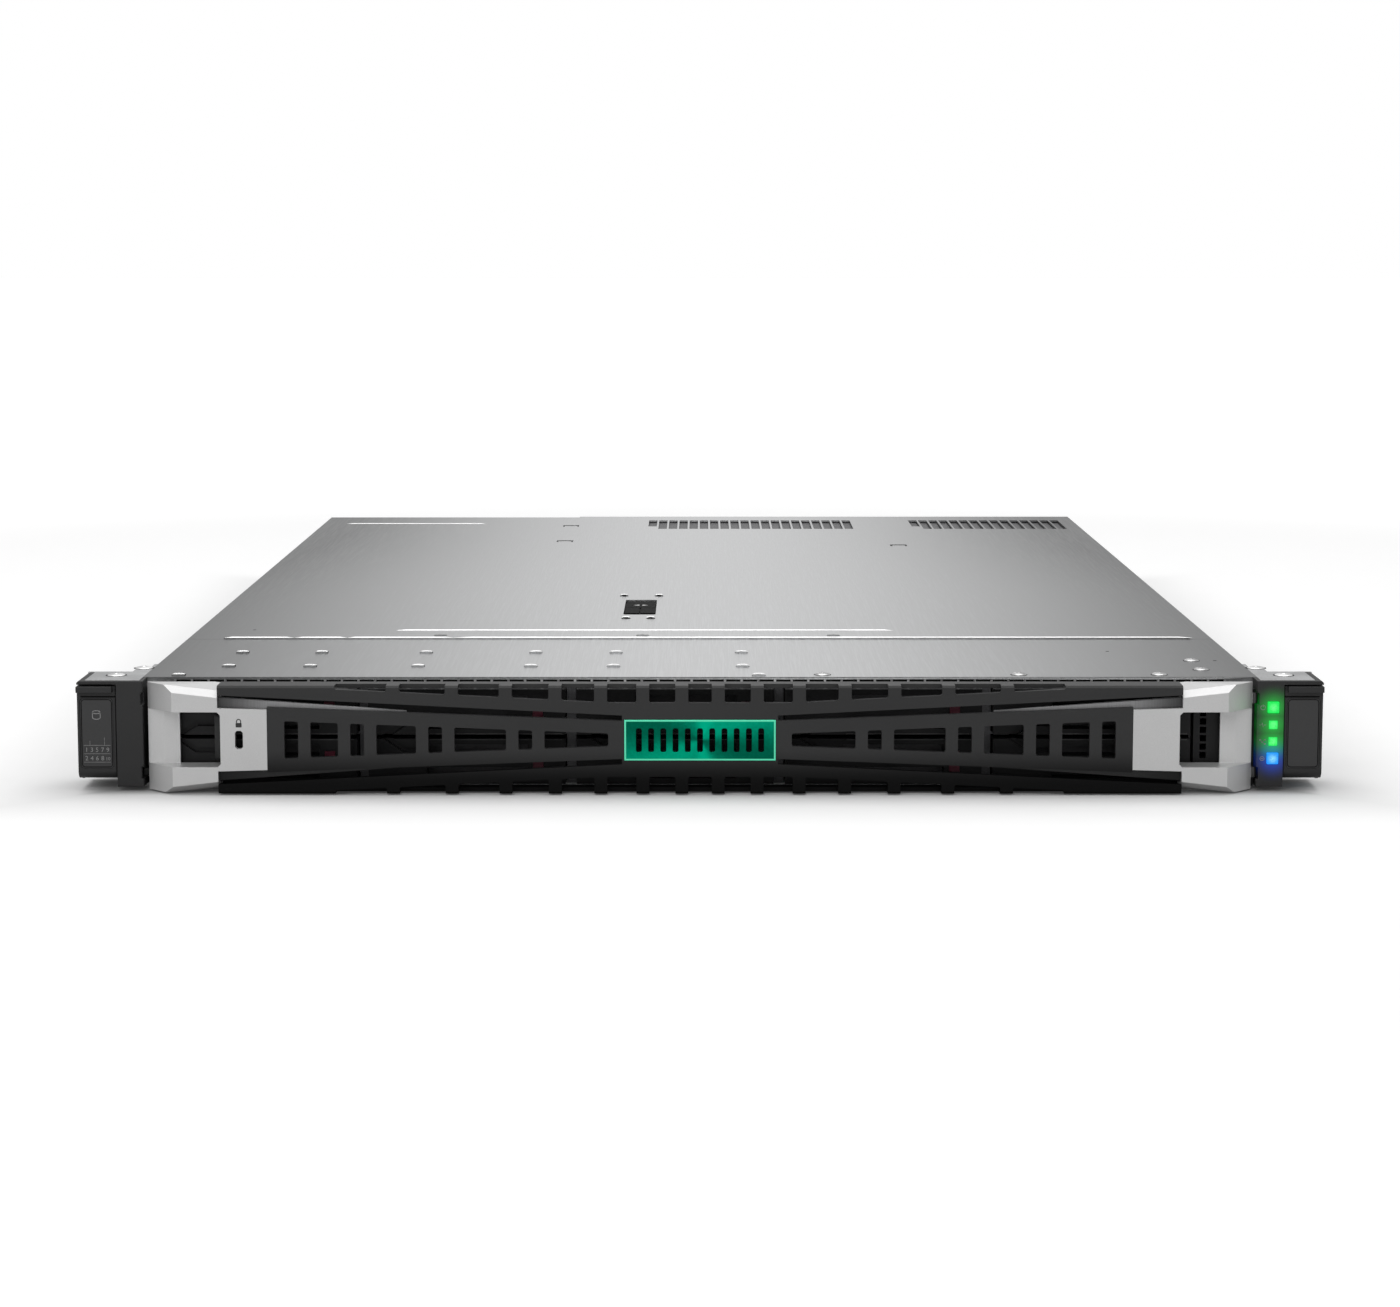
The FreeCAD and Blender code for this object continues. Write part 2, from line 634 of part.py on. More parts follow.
def access_panel():
    """Sliding cover with side skirts, front tongue, hem, vents and latch opening."""
    front = COVER_REAR + SEAM_GAP
    plan = [(-HALF_WIDTH, front), (HALF_WIDTH, front), (HALF_WIDTH, PANEL_REAR), (PANEL_STEP_X, PANEL_REAR),
            (PANEL_STEP_X, REAR_WALL), (-HALF_WIDTH, REAR_WALL)]
    panel = prism_z(plan, COVER_UNDER, BODY_HEIGHT)
    reach = INNER_HALF - FIT
    skirt = block(reach - SHEET, reach, front + PANEL_TRAVEL, REAR_WALL - SHEET - PANEL_TRAVEL - FIT,
                  COVER_UNDER - SKIRT_HEIGHT, COVER_UNDER)
    tongue = block(-reach, reach, front - TONGUE_DEPTH, front + SHEET, COVER_UNDER - SHEET - TINY,
                   COVER_UNDER)
    tongue = tongue.cut(block(-reach, reach, front - TONGUE_DEPTH, front, COVER_UNDER - TINY, COVER_UNDER))
    hem = block(-reach + HEM_LEFT_INSET, reach - HEM_RIGHT_INSET, front, front + HEM_DEPTH, COVER_UNDER,
                BODY_HEIGHT + HEM_HEIGHT)
    panel = panel.fuse([skirt, side_mirror(skirt), tongue, hem] + [lance(x, y) for x, y in PANEL_LANCES])
    holes = [latch_opening(COVER_UNDER, BODY_HEIGHT)] + [hatch(x, y) for x, y in HATCHES]
    for start, count in ((MIDDLE_SLOTS_START, MIDDLE_SLOT_COUNT), (RIGHT_SLOTS_START, RIGHT_SLOT_COUNT)):
        holes += slot_group(start, count)
    return panel.cut(holes)


def latch_cup():
    """Plastic cup under the panel that holds the latch lever."""
    floor = COVER_UNDER - CUP_DEPTH
    cup = latch_opening(floor - CUP_WALL, COVER_UNDER, CUP_WALL).cut(latch_opening(floor, COVER_UNDER))
    bore = rod(TRUNNION_RADIUS + PIN_CLEARANCE, (LATCH_X - LATCH_WIDTH, LEVER_PIVOT_Y, LEVER_PIVOT_Z),
               (1, 0, 0), 2 * LATCH_WIDTH)
    return cup.cut(bore)


def panel_latch():
    """Lever with a finger end in front, grip ribs and trunnions at the back."""
    half = LATCH_WIDTH / 2 - FIT
    front = LATCH_FRONT + LATCH_FINGER
    rear = LEVER_PIVOT_Y + LEVER_TAIL
    lever = block(LATCH_X - half, LATCH_X + half, front, rear, LEVER_BOTTOM, LEVER_TOP)
    knuckle = block(LATCH_X - half, LATCH_X + half, LEVER_PIVOT_Y - KNUCKLE, LEVER_PIVOT_Y + KNUCKLE,
                    LEVER_PIVOT_Z - KNUCKLE, LEVER_BOTTOM)
    trunnion = rod(TRUNNION_RADIUS, (LATCH_X - half - CUP_WALL, LEVER_PIVOT_Y, LEVER_PIVOT_Z), (1, 0, 0),
                   2 * (half + CUP_WALL))
    groove = block(LATCH_X - SHEET / 4, LATCH_X + SHEET / 4, front, LATCH_FRONT + LATCH_LENGTH / 2,
                   LEVER_TOP - SHEET / 2, LEVER_TOP)
    divide = block(LATCH_X - half, LATCH_X + half, LATCH_FRONT + LATCH_LENGTH / 2 - SHEET / 2,
                   LATCH_FRONT + LATCH_LENGTH / 2 + SHEET / 2, LEVER_TOP - SHEET / 2, LEVER_TOP)
    return lever.fuse([knuckle, trunnion]).cut([groove, divide])


def rail_studs():
    """Plain studs on both sides that hang in the slide rails."""
    studs = [rod(STUD_RADIUS, (HALF_WIDTH, y, MID_Z), (1, 0, 0), STUD_LENGTH) for y in STUD_Y]
    return studs + [side_mirror(stud) for stud in studs]


# Drives

def bay_corner(column, row):
    """Lowest left corner of a bay's opening."""
    return BAY_START + column * BAY_PITCH, SHEET + CAGE_WALL + row * (BAY_HEIGHT + CAGE_WALL)


def cage_right():
    """Right side of the drive cage."""
    return BAY_START + (BAY_COLUMNS - 1) * BAY_PITCH + BAY_WIDTH + CAGE_WALL


def drive_cage():
    """Sheet cage with one opening for every drive."""
    cage = block(BAY_START - CAGE_WALL, cage_right(), CAGE_FRONT, CAGE_BACK, SHEET, CAGE_TOP)
    bays = []
    for column in range(BAY_COLUMNS):
        for row in range(BAY_ROWS):
            x, z = bay_corner(column, row)
            bays.append(block(x, x + BAY_WIDTH, CAGE_FRONT, CAGE_BACK, z, z + BAY_HEIGHT))
    return cage.cut(bays)


def drive_backplane():
    """Circuit board behind the cage with a row of air slots."""
    board = block(BAY_START - CAGE_WALL, cage_right(), CAGE_BACK, CAGE_BACK + BACKPLANE_THICKNESS, SHEET,
                  CAGE_TOP)
    slots = []
    for column in range(BAY_COLUMNS):
        for row in range(BAY_ROWS):
            x, z = bay_corner(column, row)
            slots.append(block(x + BAY_WIDTH / 2, x + BAY_WIDTH - BAY_HEIGHT / 2, CAGE_BACK, CAGE_BACK + BIG,
                               z + BAY_HEIGHT / 4, z + BAY_HEIGHT * 3 / 4))
    return board.cut(slots)


def carrier_corner(column, row):
    """Lowest left corner of a carrier, which stands on the floor of its bay."""
    x, z = bay_corner(column, row)
    return x + CARRIER_CLEARANCE, z


def chevron(x, edge, way):
    """Groove in a carrier's face that leaves one edge at a slant and then runs level."""
    slant = math.atan2(CHEVRON_RISE, CHEVRON_KNEE)
    knee = x + CHEVRON_KNEE
    far = x + CHEVRON_RUN
    near_level = edge + way * CHEVRON_RISE
    far_level = near_level + way * CHEVRON_GROOVE
    points = [(x, edge), (knee, near_level), (far, near_level), (far, far_level),
              (knee - CHEVRON_GROOVE * math.tan(slant / 2), far_level),
              (x - CHEVRON_GROOVE / math.sin(slant), edge)]
    return prism_y(points, CARRIER_FACE, CARRIER_FACE + 2 * SHEET)


def drive_carrier(column, row):
    """Carrier with a slotted face, a grooved lever and two side rails."""
    x, z = carrier_corner(column, row)
    far = x + CARRIER_WIDTH
    top = z + CARRIER_HEIGHT
    middle = z + CARRIER_HEIGHT / 2
    face_back = CARRIER_FACE + CARRIER_FACE_DEPTH
    back = face_back + DISK_LENGTH
    face = block(x, far, CARRIER_FACE, face_back, z, top)
    rail = block(x, x + CARRIER_SIDE, face_back, back, z, top)
    other = block(far - CARRIER_SIDE, far, face_back, back, z, top)
    cuts = [chevron(x + CHEVRON_OFFSET, z if row else top, 1 if row else -1)]
    lip = 2 * SHEET
    for level in (-1, 1):
        centre = middle + level * CARRIER_HEIGHT / 4
        cuts.append(block(x + 2 * CHEVRON_OFFSET + CHEVRON_GROOVE * 2, x + RELEASE_OFFSET - lip, CARRIER_FACE,
                          face_back, centre - CARRIER_HEIGHT / 8, centre + CARRIER_HEIGHT / 8))
    release = release_tab(column, row, BUTTON_GAP)
    return face.fuse([rail, other]).cut(cuts).cut(release)


def release_tab(column, row, grow=0.0):
    """Coloured tab in a carrier's face, or the pocket it sits in."""
    x, z = carrier_corner(column, row)
    left = x + RELEASE_OFFSET
    middle = z + CARRIER_HEIGHT / 2
    front = CARRIER_FACE - BUTTON_PROUD
    return block(left - grow, left + RELEASE_WIDTH + grow, front, CARRIER_FACE + CARRIER_FACE_DEPTH / 2,
                 middle - RELEASE_HEIGHT / 2 - grow, middle + RELEASE_HEIGHT / 2 + grow)


def disk(column, row):
    """Drive held between a carrier's rails."""
    x, z = carrier_corner(column, row)
    front = CARRIER_FACE + CARRIER_FACE_DEPTH
    return block(x + CARRIER_SIDE, x + CARRIER_SIDE + DISK_WIDTH, front, front + DISK_LENGTH, z,
                 z + DISK_HEIGHT)


def front_port_panel():
    """Dark panel right of the drives with a column of square vents."""
    left = cage_right()
    panel = block(left, EAR_INNER - FIT, CARRIER_FACE, CAGE_FRONT + BEZEL_FACE, SHEET,
                  COVER_UNDER - FLANGE_HEIGHT)
    vent = PORT_PANEL_VENT
    cuts = []
    for index in range(PORT_PANEL_VENTS):
        z = MID_Z + (index - (PORT_PANEL_VENTS - 1) / 2) * (vent + CAGE_WALL)
        cuts.append(block(left + vent, left + 2 * vent, CARRIER_FACE, CAGE_FRONT + BEZEL_FACE, z - vent / 2,
                          z + vent / 2))
    return panel.cut(cuts)


# Rack ears: each is modelled on the right and mirrored for the left

def ear_bracket():
    """Folded steel bracket: side wing, rack plate and top flange."""
    low = EAR_BOTTOM
    wing = block(HALF_WIDTH, HALF_WIDTH + EAR_SHEET, FRONT_EDGE, EAR_WING_BACK + FRONT_EDGE, low, BODY_HEIGHT)
    plate = block(HALF_WIDTH, EAR_OUTER, EAR_PLATE_BACK - EAR_SHEET, EAR_PLATE_BACK, low, BODY_HEIGHT)
    flange = prism_z([(HALF_WIDTH, EAR_FLANGE_FRONT), (EAR_OUTER - EAR_RIM, EAR_FLANGE_FRONT),
                      (EAR_OUTER - EAR_RIM, EAR_PLATE_BACK), (HALF_WIDTH + EAR_WING_WIDTH, EAR_PLATE_BACK),
                      (HALF_WIDTH + EAR_WING_WIDTH, EAR_WING_BACK), (HALF_WIDTH, EAR_WING_BACK)], EAR_TOP,
                     BODY_HEIGHT)
    hole = rod(SCREW_RADIUS + SCREW_HOLE_CLEARANCE, (RACK_HOLE_X, FRONT_EDGE, MID_Z), (0, 1, 0),
               EAR_WING_BACK)
    return wing.fuse([plate, flange]).removeSplitter().cut(hole)


def ear_pivot(x0, x1, radius):
    """Trunnion, or the hole for it, on the door's pivot line."""
    return rod(radius, (x0, LATCH_PIVOT_Y, LATCH_PIVOT_Z), (1, 0, 0), x1 - x0)


def ear_housing(indicators):
    """Moulded ear: inner column, cap, back wall with the screw seat, and outer cheek."""
    column_back = EAR_PLATE_BACK - EAR_SHEET
    front_part = block(EAR_INNER, EAR_SPLIT, EAR_FRONT, FRONT_EDGE, EAR_BOTTOM, EAR_TOP)
    rear_part = block(HALF_WIDTH + EAR_SHEET, EAR_SPLIT, FRONT_EDGE, column_back, EAR_BOTTOM, EAR_TOP)
    cap = block(EAR_INNER, EAR_OUTER, EAR_FRONT, column_back, EAR_TOP, BODY_HEIGHT)
    cap = cap.cut(block(HALF_WIDTH, EAR_OUTER - EAR_RIM, EAR_FLANGE_FRONT, column_back, EAR_TOP, BODY_HEIGHT))
    cap = cap.cut(block(0, HALF_WIDTH, FRONT_EDGE, BIG, 0, BODY_HEIGHT))
    edges = [edge for edge in cap.Edges if edge.BoundBox.ZMin > BODY_HEIGHT - TINY
             and abs(edge.BoundBox.XMin - EAR_OUTER) < TINY and abs(edge.BoundBox.XMax - EAR_OUTER) < TINY]
    cap = cap.makeChamfer(EAR_SHEET / 2, edges)
    back = block(EAR_SPLIT, EAR_OUTER, SCREW_SEAT, column_back, EAR_BLOCK_BOTTOM, EAR_TOP)
    cheek = block(EAR_OUTER - EAR_CHEEK, EAR_OUTER, LATCH_PIVOT_Y + LATCH_DOOR_DEPTH / 2 + FIT, column_back,
                  EAR_BLOCK_BOTTOM, EAR_TOP)
    ear = front_part.fuse([rear_part, cap, back, cheek]).removeSplitter()
    hole = rod(SCREW_RADIUS + SCREW_HOLE_CLEARANCE, (RACK_HOLE_X, 0, MID_Z), (0, 1, 0), EAR_PLATE_BACK)
    pivot = ear_pivot(EAR_SPLIT - EAR_PIN, EAR_SPLIT, EAR_PIN_RADIUS + PIN_CLEARANCE)
    notches = []
    for level in (-PIVOT_LEVEL, PIVOT_LEVEL):
        notches.append(block(EAR_INNER, PIVOT_X + PIVOT_RADIUS + FIT, EAR_FRONT, PIVOT_NOTCH,
                             MID_Z + level - PIVOT_HEIGHT / 2 - FIT, MID_Z + level + PIVOT_HEIGHT / 2 + FIT))
    return ear.cut([hole, pivot] + notches).cut(indicators)


def ear_latch():
    """Door over the rack screw: half-round foot, finger bar on top and a pivot pin at the foot."""
    top = EAR_TOP - LATCH_TOP_GAP
    left = EAR_SPLIT + LATCH_DOOR_GAP
    right = EAR_OUTER
    front = EAR_FRONT + LATCH_DOOR_RECESS
    back = EAR_FRONT + LATCH_DOOR_DEPTH - LATCH_DOOR_RECESS
    foot = ear_pivot(left, right, (back - front) / 2)
    body = block(left, right, front, back, LATCH_PIVOT_Z, top)
    bar = block(left + SHEET, right, EAR_FRONT - FINGER_BAR_REACH, front, top - FINGER_BAR_HEIGHT, top)
    pin = ear_pivot(EAR_SPLIT - EAR_PIN + FIT, left + SHEET, EAR_PIN_RADIUS)
    label = prism_y(rectangle(left + SHEET, right - SHEET, LATCH_PIVOT_Z + SHEET,
                              top - 2 * FINGER_BAR_HEIGHT), front, front + LABEL_DEPTH, SHEET)
    return foot.fuse([body, bar, pin]).removeSplitter().cut(label)


def rack_screw():
    """Captive screw through the ear into the rack post."""
    neck = rod(SCREW_NECK_RADIUS, (RACK_HOLE_X, SCREW_SEAT, MID_Z), (0, 1, 0), EAR_PLATE_BACK - SCREW_SEAT)
    thread = rod(SCREW_RADIUS, (RACK_HOLE_X, EAR_PLATE_BACK, MID_Z), (0, 1, 0), SCREW_REACH - EAR_PLATE_BACK)
    head = rod(SCREW_HEAD_RADIUS, (RACK_HOLE_X, SCREW_SEAT - SCREW_HEAD_HEIGHT, MID_Z), (0, 1, 0),
               SCREW_HEAD_HEIGHT)
    slot = block(RACK_HOLE_X - SCREW_RADIUS / 4, RACK_HOLE_X + SCREW_RADIUS / 4,
                 SCREW_SEAT - SCREW_HEAD_HEIGHT, SCREW_SEAT - SCREW_HEAD_HEIGHT * 3 / 4,
                 MID_Z - SCREW_HEAD_RADIUS, MID_Z + SCREW_HEAD_RADIUS)
    return head.fuse([neck, thread]).removeSplitter().cut(slot)


def ear_square(level, size, y0, y1, grow=0.0):
    """Square block or pocket on the indicator line of the right ear."""
    half = size / 2 + grow
    return block(LAMP_X - half, LAMP_X + half, y0, y1, MID_Z + level - half, MID_Z + level + half)


def push_button(level):
    """Square button standing slightly proud of the ear."""
    return ear_square(level, BUTTON_SIZE, EAR_FRONT - BUTTON_PROUD, EAR_FRONT + BUTTON_DEPTH)


def status_lamp(level):
    """Square lamp window in the ear."""
    return ear_square(level, LAMP_SIZE, EAR_FRONT - BUTTON_PROUD / 2, EAR_FRONT + LAMP_DEPTH)


def indicator_pockets():
    """Pockets for the two buttons and two lamps."""
    floor = EAR_FRONT + BUTTON_DEPTH + BUTTON_TRAVEL + FIT
    pockets = [ear_square(level, BUTTON_SIZE, EAR_FRONT, floor, BUTTON_GAP) for level in (POWER_HEIGHT,
                                                                                          ID_HEIGHT)]
    return pockets + [ear_square(level, LAMP_SIZE, EAR_FRONT, EAR_FRONT + LAMP_DEPTH)
                      for level in (HEALTH_HEIGHT, NETWORK_HEIGHT)]


# Bezel

def mid_band(x):
    """Half height of the middle band at a distance from the middle."""
    return MID_BAND_HALF + MID_BAND_SLOPE * (x - SLIT_START) / BEZEL_STRETCH


def outer_band(x):
    """Half height at which the outer bands begin."""
    return OUTER_BAND_HALF + OUTER_BAND_SLOPE * (x - SLIT_START) / BEZEL_STRETCH


def spans(start, widths, rib):
    """Start and end of neighbouring windows, a rib apart, stretched to the bezel's length."""
    result = []
    for width in widths:
        result.append((start * BEZEL_STRETCH, (start + width) * BEZEL_STRETCH))
        start += width + rib
    return result


def face_window(points, back):
    """Rounded window cut through the bezel from its front."""
    return prism_y([(x, MID_Z + z) for x, z in points], BEZEL_FRONT - BEZEL_FACE, back, WINDOW_CORNER)


def mid_windows():
    """Tapering windows of the middle band: wide and narrow ones in turn."""
    widths = []
    for pair in range(MID_WINDOW_PAIRS):
        widths += [MID_WINDOW_WIDE - pair * MID_WINDOW_SHRINK, MID_WINDOW_NARROW]
    windows = []
    for x0, x1 in spans(MID_WINDOW_START, widths, MID_WINDOW_RIB):
        low = mid_band(x0) - MID_BAND_BORDER
        high = mid_band(x1) - MID_BAND_BORDER
        windows.append(face_window([(x0, -low), (x1, -high), (x1, high), (x0, low)],
                                   BEZEL_FRONT + 2 * BEZEL_FACE))
    return windows + [side_mirror(window) for window in windows]


def top_windows():
    """Windows between the diagonal bars and the flanges, notched back into the flanges."""
    widths = [TOP_WINDOW_WIDTH * TOP_WINDOW_GROWTH ** index for index in range(TOP_WINDOW_COUNT)]
    places = spans(TOP_WINDOW_CENTRE + TOP_WINDOW_RIB, widths, TOP_WINDOW_RIB)
    level = outer_band(places[1][1]) + TOP_BAR
    over = BEZEL_HALF_HEIGHT + 2 * WINDOW_CORNER
    back = BEZEL_FRONT + TOP_NOTCH_DEPTH
    windows = []
    for x0, x1 in places:
        low = max(level, outer_band(x0) + TOP_BAR)
        high = max(level, outer_band(x1) + TOP_BAR)
        windows.append(face_window([(x0, low), (x1, high), (x1, over), (x0, over)], back))
    centre = TOP_WINDOW_CENTRE * BEZEL_STRETCH
    windows.append(face_window([(-centre, level), (centre, level), (centre, over), (-centre, over)], back))
    doubled = windows + [side_mirror(window) for window in windows[:-1]]
    return doubled + [height_mirror(window) for window in doubled]


def slit():
    """Diagonal slit between the middle band and the upper band, right side."""
    points = [(SLIT_START, mid_band(SLIT_START)), (ARM_INNER, mid_band(ARM_INNER)),
              (ARM_INNER, outer_band(ARM_INNER)), (SLIT_START, outer_band(SLIT_START))]
    return prism_y([(x, MID_Z + z) for x, z in points], BEZEL_FRONT, BEZEL_FRONT + BEZEL_FACE)


def handle_step(grow=0.0):
    """Place of the handle's plate in the middle band, right side."""
    inner = HANDLE_INNER - grow
    low = mid_band(HANDLE_INNER)
    return prism_y([(inner, MID_Z - low), (ARM_INNER, MID_Z - mid_band(ARM_INNER)),
                    (ARM_INNER, MID_Z + mid_band(ARM_INNER)), (inner, MID_Z + low)],
                   BEZEL_FRONT, BEZEL_FRONT + BEZEL_FACE)


def insert_block(proud, depth, grow=0.0):
    """Plain block of the centre insert, or its pocket."""
    return block(-INSERT_HALF_LENGTH - grow, INSERT_HALF_LENGTH + grow, BEZEL_FRONT - proud,
                 BEZEL_FRONT + depth,
                 MID_Z - INSERT_HALF_HEIGHT - grow, MID_Z + INSERT_HALF_HEIGHT + grow)


def bezel_grille():
    """Black channel-shaped grille with tapering windows, diagonal slits and a centre pocket."""
    low = MID_Z - BEZEL_HALF_HEIGHT
    high = MID_Z + BEZEL_HALF_HEIGHT
    shell = block(-ARM_INNER, ARM_INNER, BEZEL_FRONT, BEZEL_BACK, low, high)
    edges = [edge for edge in shell.Edges if edge.BoundBox.YMax < BEZEL_FRONT + TINY
             and edge.BoundBox.XLength > ARM_INNER]
    shell = shell.makeChamfer(BEZEL_FLANGE / 2, edges)
    shell = shell.cut(block(-ARM_INNER, ARM_INNER, BEZEL_FRONT + BEZEL_FACE, BEZEL_BACK,
                            low + BEZEL_FLANGE, high - BEZEL_FLANGE))
    shell = shell.cut(four_ways([slit()]) + [handle_step(), side_mirror(handle_step())])
    air = block(-INSERT_SLOTS * INSERT_SLOT_PITCH / 2, INSERT_SLOTS * INSERT_SLOT_PITCH / 2, BEZEL_FRONT,
                BEZEL_BACK, MID_Z - INSERT_SLOT_HALF_HEIGHT, MID_Z + INSERT_SLOT_HALF_HEIGHT)
    return shell.cut(mid_windows() + top_windows()).cut([insert_block(0, INSERT_SEAT), air])


def bezel_center_insert():
    """Coloured metal plate pierced by a row of upright slots."""
    plate = insert_block(INSERT_PROUD, INSERT_SEAT)
    slots = []
    for index in range(INSERT_SLOTS):
        x = (index - (INSERT_SLOTS - 1) / 2) * INSERT_SLOT_PITCH
        half = INSERT_SLOT_WIDTH / 2
        slots.append(prism_y(rectangle(x - half, x + half, MID_Z - INSERT_SLOT_HALF_HEIGHT,
                                       MID_Z + INSERT_SLOT_HALF_HEIGHT),
                             BEZEL_FRONT - INSERT_PROUD, BEZEL_FRONT + INSERT_SEAT, WINDOW_CORNER))
    return plate.cut(slots)


def bezel_trim_bar():
    """Bright wedge behind a slit, resting on the backs of both bands, upper right side."""
    inner = mid_band(TRIM_START)
    points = [(TRIM_START, inner - TRIM_OVERLAP), (ARM_INNER, mid_band(ARM_INNER) - TRIM_OVERLAP),
              (ARM_INNER, outer_band(ARM_INNER) - TRIM_OVERLAP), (TRIM_START, inner + TRIM_OVERLAP / 2)]
    back = BEZEL_FRONT + BEZEL_FACE
    return prism_y([(x, MID_Z + z) for x, z in points], back, back + TRIM_THICKNESS)


def arm_outline(inset):
    """Plan outline of a handle's arms, with a slanted outer corner."""
    return [(ARM_INNER + inset, BEZEL_FRONT + inset), (ARM_CORNER - inset / 2, BEZEL_FRONT + inset),
            (BEZEL_HALF_LENGTH - inset, BEZEL_BACK - FIT), (BEZEL_HALF_LENGTH - inset, BEZEL_BACK),
            (ARM_INNER + inset, BEZEL_BACK)]


def slope_point(x, y, half_height):
    """Point on an arm's sloping top, which rises outward."""
    return (x, y, MID_Z + half_height + ARM_TOP_SLOPE * (x - ARM_INNER))


def bezel_handle():
    """Right end cap: two chamfered arms round a finger window, and a flat plate inward."""
    arms = prism_z(arm_outline(0), MID_Z, MID_Z + BEZEL_HALF_HEIGHT)
    crease_y = BEZEL_FRONT + ARM_CREASE_BACK
    crease = slope_point(ARM_INNER, crease_y, ARM_CREASE_TOP)
    arms = trim_above(arms, slope_point(ARM_INNER, BEZEL_FRONT, ARM_FRONT_TOP),
                      slope_point(ARM_CORNER, BEZEL_FRONT, ARM_FRONT_TOP), crease)
    arms = trim_above(arms, crease, slope_point(ARM_CORNER, crease_y, ARM_CREASE_TOP),
                      slope_point(ARM_INNER, BEZEL_BACK, ARM_REAR_TOP))
    pocket_low = GRIP_HALF_HEIGHT + ARM_WALL
    arms = arms.cut(prism_z(arm_outline(ARM_WALL), MID_Z + pocket_low, MID_Z + ARM_FRONT_TOP - ARM_WALL / 2))
    arms = arms.fuse(height_mirror(arms)).removeSplitter()
    low = HANDLE_PLATE_HALF - HANDLE_PLATE_TAPER
    plate = prism_y([(HANDLE_INNER, MID_Z - low), (ARM_INNER, MID_Z - HANDLE_PLATE_HALF),
                     (ARM_INNER, MID_Z + HANDLE_PLATE_HALF), (HANDLE_INNER, MID_Z + low)],
                    BEZEL_FRONT, BEZEL_FRONT + BEZEL_FACE)
    over = BEZEL_FRONT - BEZEL_FACE
    grip = prism_z([(GRIP_INNER, over), (BEZEL_HALF_LENGTH + FIT, over),
                    (BEZEL_HALF_LENGTH + FIT, BEZEL_BACK - FIT),
                    (BEZEL_HALF_LENGTH, BEZEL_BACK - FIT), (GRIP_BEND, GRIP_WALL_FRONT),
                    (GRIP_OUTER, GRIP_WALL_EDGE),
                    (GRIP_OUTER, BEZEL_BACK + SHEET), (GRIP_INNER, BEZEL_BACK + SHEET)],
                   MID_Z - GRIP_HALF_HEIGHT, MID_Z + GRIP_HALF_HEIGHT)
    mask = prism_y(rectangle(GRIP_INNER, BEZEL_HALF_LENGTH + GRIP_INNER, MID_Z - GRIP_HALF_HEIGHT,
                             MID_Z + GRIP_HALF_HEIGHT), over, BEZEL_BACK + SHEET, GRIP_CORNER)
    return arms.fuse(plate).removeSplitter().cut(grip.common(mask))


def pivot_bosses():
    """Round hinge bosses on the right handle, which turn in notches of the ear."""
    bosses = []
    for level in (-PIVOT_LEVEL, PIVOT_LEVEL):
        z = MID_Z + level - PIVOT_HEIGHT / 2
        boss = rod(PIVOT_RADIUS, (PIVOT_X, 0, z), (0, 0, 1), PIVOT_HEIGHT)
        web = prism_z([(BEZEL_HALF_LENGTH - ARM_WALL, BEZEL_BACK - FIT),
                       (BEZEL_HALF_LENGTH, BEZEL_BACK - FIT),
                       (PIVOT_X, -PIVOT_RADIUS / 2), (PIVOT_X, PIVOT_RADIUS / 2),
                       (BEZEL_HALF_LENGTH - ARM_WALL, PIVOT_RADIUS / 2)], z, z + PIVOT_HEIGHT)
        bosses += [boss, web]
    return bosses


def right_handle():
    """End cap with the hinge bosses."""
    return bezel_handle().fuse(pivot_bosses()).removeSplitter()


def left_handle():
    """End cap with the lock slot."""
    lock = prism_y(rectangle(LOCK_X - LOCK_WIDTH / 2, LOCK_X + LOCK_WIDTH / 2, MID_Z - LOCK_HALF_HEIGHT,
                             MID_Z + LOCK_HALF_HEIGHT), BEZEL_FRONT, BEZEL_FRONT + BEZEL_FACE, LOCK_WIDTH / 4)
    return side_mirror(bezel_handle().cut(lock))


def bezel_release():
    """Sprung slide: a finger paddle in the left grip, and a bar behind the lower arm that ends in the ear."""
    back = BEZEL_BACK
    front = back - PADDLE_DEPTH
    right = -GRIP_INNER
    left = right - PADDLE_WIDTH
    paddle = block(left, right, front, back, MID_Z - PADDLE_HALF_HEIGHT, MID_Z + PADDLE_HALF_HEIGHT)
    bar_top = MID_Z - PIVOT_LEVEL + RELEASE_BAR / 2
    bar = block(-EAR_INNER - HOOK_REACH, right, back, back + RELEASE_BAR / 2, bar_top - RELEASE_BAR, bar_top)
    riser = block(left, right, back, back + RELEASE_BAR / 2, bar_top - RELEASE_BAR,
                  MID_Z + PADDLE_HALF_HEIGHT)
    return paddle.fuse([bar, riser]).removeSplitter()


# Fans

def fan_x(index):
    """Middle of a fan."""
    return (index - (FAN_COUNT - 1) / 2) * FAN_PITCH


def fan_drum(index, radius, y0, y1):
    """Motor drum of a fan, with narrow flats round it."""
    points = [(fan_x(index) + dx, FAN_AXIS_Z + dz) for dx, dz in ring_points(radius, FAN_HUB_SIDES)]
    return prism_y(points, y0, y1)


